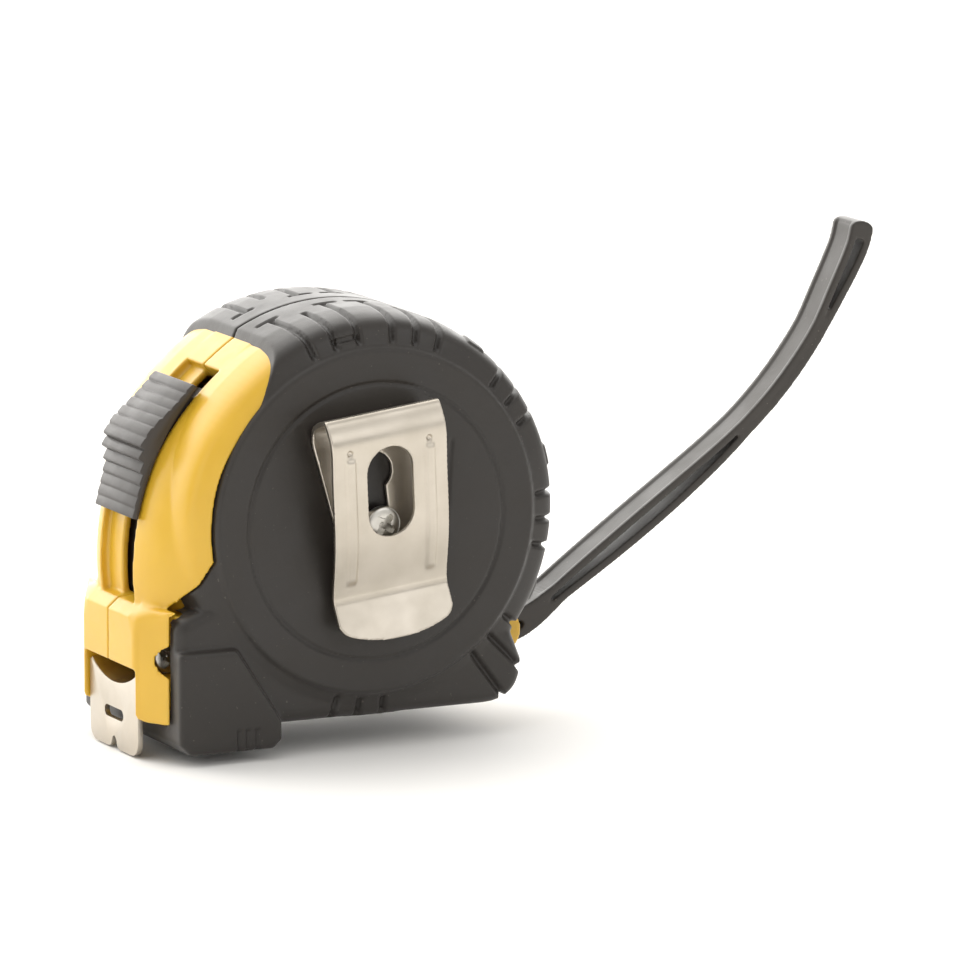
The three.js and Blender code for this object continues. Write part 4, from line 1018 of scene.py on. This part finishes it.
def arc_section(lowest, thickness, half_width, sag=2.8, steps=40):
    """A band that is hollow like the tape, as (y, z) points."""
    radius = (TAPE_HALF ** 2 + sag ** 2) / (2 * sag)
    reach = math.asin(half_width / radius)
    middle = lowest + radius
    angles = [reach * (2 * i / steps - 1) for i in range(steps + 1)]
    outer = [(radius * math.sin(a), middle - radius * math.cos(a)) for a in angles]
    inner = [((radius - thickness) * math.sin(a), middle - (radius - thickness) * math.cos(a))
             for a in reversed(angles)]
    return outer + inner


def curve_to(start, control, end, steps=10):
    """The points of a curve after its start, drawn towards a control point."""
    return [tuple((1 - t) ** 2 * s + 2 * t * (1 - t) * c + t * t * e
                  for s, c, e in zip(start, control, end))
            for t in [i / steps for i in range(1, steps + 1)]]


side, low = HOOK_HALF, HOOK_LOW
right_half = [(0, low + 2)] + curve_to((0, low + 2), (0.7, low + 1.9), (0.9, low + 1.2))
right_half += curve_to((0.9, low + 1.2), (1.2, low), (2.6, low)) + [(side - 3, low)]
right_half += curve_to((side - 3, low), (side, low), (side, low + 3))
right_half += [(side, FLANGE_LOW + 2.8)]
outline = right_half + [(-y, z) for y, z in reversed(right_half[1:])]
plate = thicken(outline, HOOK_FACE, HOOK_FACE + HOOK_SHEET, X)
cut(plate, thicken(arc_section(FLANGE_LOW + FLANGE_SHEET, 8.4, HOOK_HALF + 2.8), -FAR, FAR, X))
slot = []
for s, start in ((1, 0), (-1, math.pi)):
    slot += [(SLOT_PLACE * s + SLOT_RADIUS * math.cos(a + start),
              low + SLOT_RISE + SLOT_RADIUS * math.sin(a + start))
             for a in np.linspace(-math.pi / 2, math.pi / 2, 13)]
cut(plate, thicken(slot, -FAR, FAR, X))
flange = thicken(arc_section(FLANGE_LOW, FLANGE_SHEET, HOOK_HALF - GAP), HOOK_FACE + 0.1,
                 HOOK_FACE + FLANGE_LENGTH, X)
for name in ("hook_rivet_1", "hook_rivet_2"):
    x = sum(span(name, X)) / 2
    hole = thicken([(x + 1.4 * math.cos(a) + (1 if math.cos(a) > 0 else 0), 1.4 * math.sin(a))
                    for a in np.linspace(0, 2 * math.pi, 32, endpoint=False)], -FAR, 0, Z)
    cut(flange, hole)
hook = bevel(join(plate, flange), 0.18, 3, 40)
finish_piece(hook, "tape_end_hook", NICKEL_STEEL, "hook", "end_hook")
hook.data.set_sharp_from_angle(angle=math.radians(45))

# %% [markdown]
# ## The wrist strap
# The strap is one moulded loop: two thin strands that leave a solid block with the pin's eye in it.
# Each outer face is a shallow channel between two thin edge ribs, and the loop's end is a rounded
# bulge. It is remeshed evenly, so that the channel can be pressed into it.

# %% The strap's line
STRAP_LINE = [(0, 0), (3.6, -0.9), (8.6, 0.9), (15.4, 5.6), (27.2, 13.6), (37.8, 21.1),
              (46.2, 27.6), (54.2, 35), (61, 43.4), (66, 52), (69.2, 58.2), (70.2, 61.6)]
STRAND, ROOT_STRAND = 1.3, 2.6
ROOT_SHARE = 0.16
BOWS = ((0.1, 0.5, 0.7), (0.82, 0.4, 0.7))
EYE, CAP = 2.8, 1.3


def strap_half_gap(share):
    """Half the space between the strands, which bow apart twice along the loop."""
    bows = [height * np.sin(np.pi * np.clip((share - start) / length, 0, 1))
            for start, length, height in BOWS]
    return 0.12 + np.maximum(*bows)


def strap_half(share):
    """Half the strap's thickness, which swells to the block at the pin."""
    strands = STRAND + strap_half_gap(share)
    along = np.clip(share / ROOT_SHARE, 0, 1)
    return np.maximum(strands, ROOT_STRAND + (strands - ROOT_STRAND) * along * along)


path = np.array(rounded([(PIN_X + x, PIN_Z + z) for x, z in STRAP_LINE], 24))
steps_along = np.linalg.norm(np.diff(path, axis=0), axis=1)
length_along = np.concatenate([[0], np.cumsum(steps_along)])
print("strap along its line, mm:", round(length_along[-1] + CAP, 1))
length_along /= length_along[-1]
shares = np.linspace(0, 1, 161)
path = np.stack([np.interp(shares, length_along, path[:, k]) for k in (0, 1)], axis=1)
way = np.gradient(path, axis=0)
way /= np.linalg.norm(way, axis=1)[:, None]
sideways = np.stack([-way[:, 1], way[:, 0]], axis=1)
half = strap_half(shares)

# %% [markdown]
# The block beside the pin has a small blind hollow, left by the mould's core. The channel in each
# face is pressed in last, where a point faces away from the strap's middle line.

# %% The wrist strap
HOLLOW_AT, HOLLOW_LONG, HOLLOW_WIDE = 8, 2.3, 1.0
CHANNEL = 0.3


def both_edges(centre, offsets, half, cap=()):
    """An outline along both sides of a line, with a cap of points round its end."""
    upper = centre + offsets * half[:, None]
    lower = centre - offsets * half[:, None]
    return [*map(tuple, upper), *cap, *map(tuple, lower[::-1])]


tip_arc = []
for a in np.radians(np.linspace(80, -80, 17)):
    reach, aside = CAP * math.cos(a), half[-1] * math.sin(a)
    tip_arc.append(tuple(path[-1] + way[-1] * reach + sideways[-1] * aside))
strap = thicken(both_edges(path, sideways, half, tip_arc), -STRAP_HALF, STRAP_HALF)
inside = (shares > 0.13) & (shares < 0.985)
cut(strap, thicken(both_edges(path[inside], sideways[inside], strap_half_gap(shares[inside])),
                   -FAR, FAR))
strap = join(strap, rod(EYE, -STRAP_HALF, STRAP_HALF, PIN_X, PIN_Z))
cut(strap, rod(PIN_HOLE, -FAR, FAR, PIN_X, PIN_Z))
hollow = [tuple(path[HOLLOW_AT] + way[HOLLOW_AT] * HOLLOW_LONG * math.cos(a)
                + sideways[HOLLOW_AT] * HOLLOW_WIDE * math.sin(a))
          for a in np.linspace(0, 2 * math.pi, 24, endpoint=False)]
cut(strap, thicken(hollow, -STRAP_HALF - 1, -STRAP_HALF + 1.6))
moulded(strap, 0.26, 3)
co, nor = points_of(strap), normals_of(strap)
flat = co[:, ::2]
nearest = np.array([np.argmin(((path - p) ** 2).sum(axis=1)) for p in flat])
outward = np.abs(((flat - path[nearest]) * sideways[nearest]).sum(axis=1))
on_face = ramp(outward, half[nearest] - 0.45, half[nearest] - 0.2) * (np.abs(nor[:, 1]) < 0.5)
middle_band = 1 - ramp(np.abs(co[:, 1]), 2.2, 2.6)
channel = CHANNEL * middle_band * on_face * ramp(shares[nearest], 0.12, 0.15)
set_points(strap, co - nor * channel[:, None])
finish_piece(strap, "moulded_wrist_strap", STRAP_RUBBER, "strap", "wrist_strap")

# %% [markdown]
# ## Studio
# The floor is a wide pale sheet. Most of the light is a bright backdrop behind the case, which
# makes the rubber's crown and the clip's fold shine, and a pale sky fills the rest. Three weak
# panels, overhead, in front and at the left, give the small round forms their glints.

# %% Floor and lights
def soft_panel(name, place, target, size, power):
    """A rectangular lamp in metres and watts that faces a target."""
    lamp = bpy.data.lights.new(name, "AREA")
    lamp.shape, lamp.size, lamp.size_y, lamp.energy = "RECTANGLE", size[0], size[1], power
    obj = bpy.data.objects.new(name, lamp)
    obj.location = place
    obj.rotation_euler = (Vector(target) - Vector(place)).to_track_quat("-Z", "Y").to_euler()
    bpy.context.scene.collection.objects.link(obj)
    return obj


centre = Vector((0.03, -HALF * MM, 0))
floor_z = (HOOK_LOW - 0.3) * MM
floor = mesh_object("floor", [(x, y, floor_z) for x, y in ((-4, -4), (4, -4), (4, 4), (-4, 4))],
                    [(0, 1, 2, 3)])
floor_material, _ = new_material("pale_paper", "#F4F3F1", 0.9)
floor.data.materials.append(floor_material)
floor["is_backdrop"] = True

soft_panel("overhead", (-0.25, 0.1, 0.8), centre, (1.0, 0.8), 2)
soft_panel("front", (0.52, -1.0, 0.52), centre, (0.9, 0.5), 1.5)
soft_panel("left_fill", (-0.6, -0.45, 0.12), centre, (0.5, 0.5), 0.5)

world = bpy.data.worlds.new("white_cove")
bpy.context.scene.world = world
world.use_nodes = True
direction = add(world, "ShaderNodeTexCoord").outputs["Generated"]
way_out = add(world, "ShaderNodeSeparateXYZ", {"Vector": direction})
sky = remap(world, way_out.outputs["Z"], 0.0, 1.0, 0.5, 1.0)
backdrop = remap(world, way_out.outputs["Y"], 0.1, 0.9, 0.0, 3.1)
glow = add(world, "ShaderNodeMath", {0: sky, 1: backdrop}, operation="ADD")
background = world.node_tree.nodes["Background"]
background.inputs["Color"].default_value = (1, 0.985, 0.955, 1)
world.node_tree.links.new(glow.outputs["Value"], background.inputs["Strength"])
bpy.context.scene.view_settings.view_transform = "Standard"

# %% [markdown]
# ## Camera
# The camera stands 1.5 m away, before the clip's side and a little above, with a long lens. Its
# place comes from two angles, a distance and the width it takes in.

# %% Camera
AZIMUTH, ELEVATION = math.radians(-26), math.radians(10.4)
DISTANCE, VIEW_WIDTH = 1500, 157.7
ASIDE, ABOVE = 25.4, 3.4
towards = Vector((math.sin(AZIMUTH) * math.cos(ELEVATION),
                  -math.cos(AZIMUTH) * math.cos(ELEVATION), math.sin(ELEVATION)))
camera_data = bpy.data.cameras.new("camera")
camera = bpy.data.objects.new("camera", camera_data)
bpy.context.scene.collection.objects.link(camera)
bpy.context.scene.camera = camera
camera_data.sensor_width = 36
camera_data.lens = camera_data.sensor_width * DISTANCE / VIEW_WIDTH
camera_data.clip_start, camera_data.clip_end = 0.05, 20
camera.rotation_mode = "QUATERNION"
camera.rotation_quaternion = (-towards).to_track_quat("-Z", "Y")
rightwards, upwards = (camera.rotation_quaternion @ Vector(v) for v in ((1, 0, 0), (0, 1, 0)))
middle = Vector((0, -HALF, 0)) + rightwards * ASIDE + upwards * ABOVE
camera.location = (middle + towards * DISTANCE) * MM
print("camera at, mm:", [round(v / MM) for v in camera.location])

# %% [markdown]
# ## The finished look's box is printed, in millimetres.
# Both boxes, the imported model's and the finished look's, are written out to be compared.

# %% Sizes for the record, and the end
low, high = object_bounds()
print("visual box, mm:", [round(1000 * v, 1) for v in (*low, *high)])
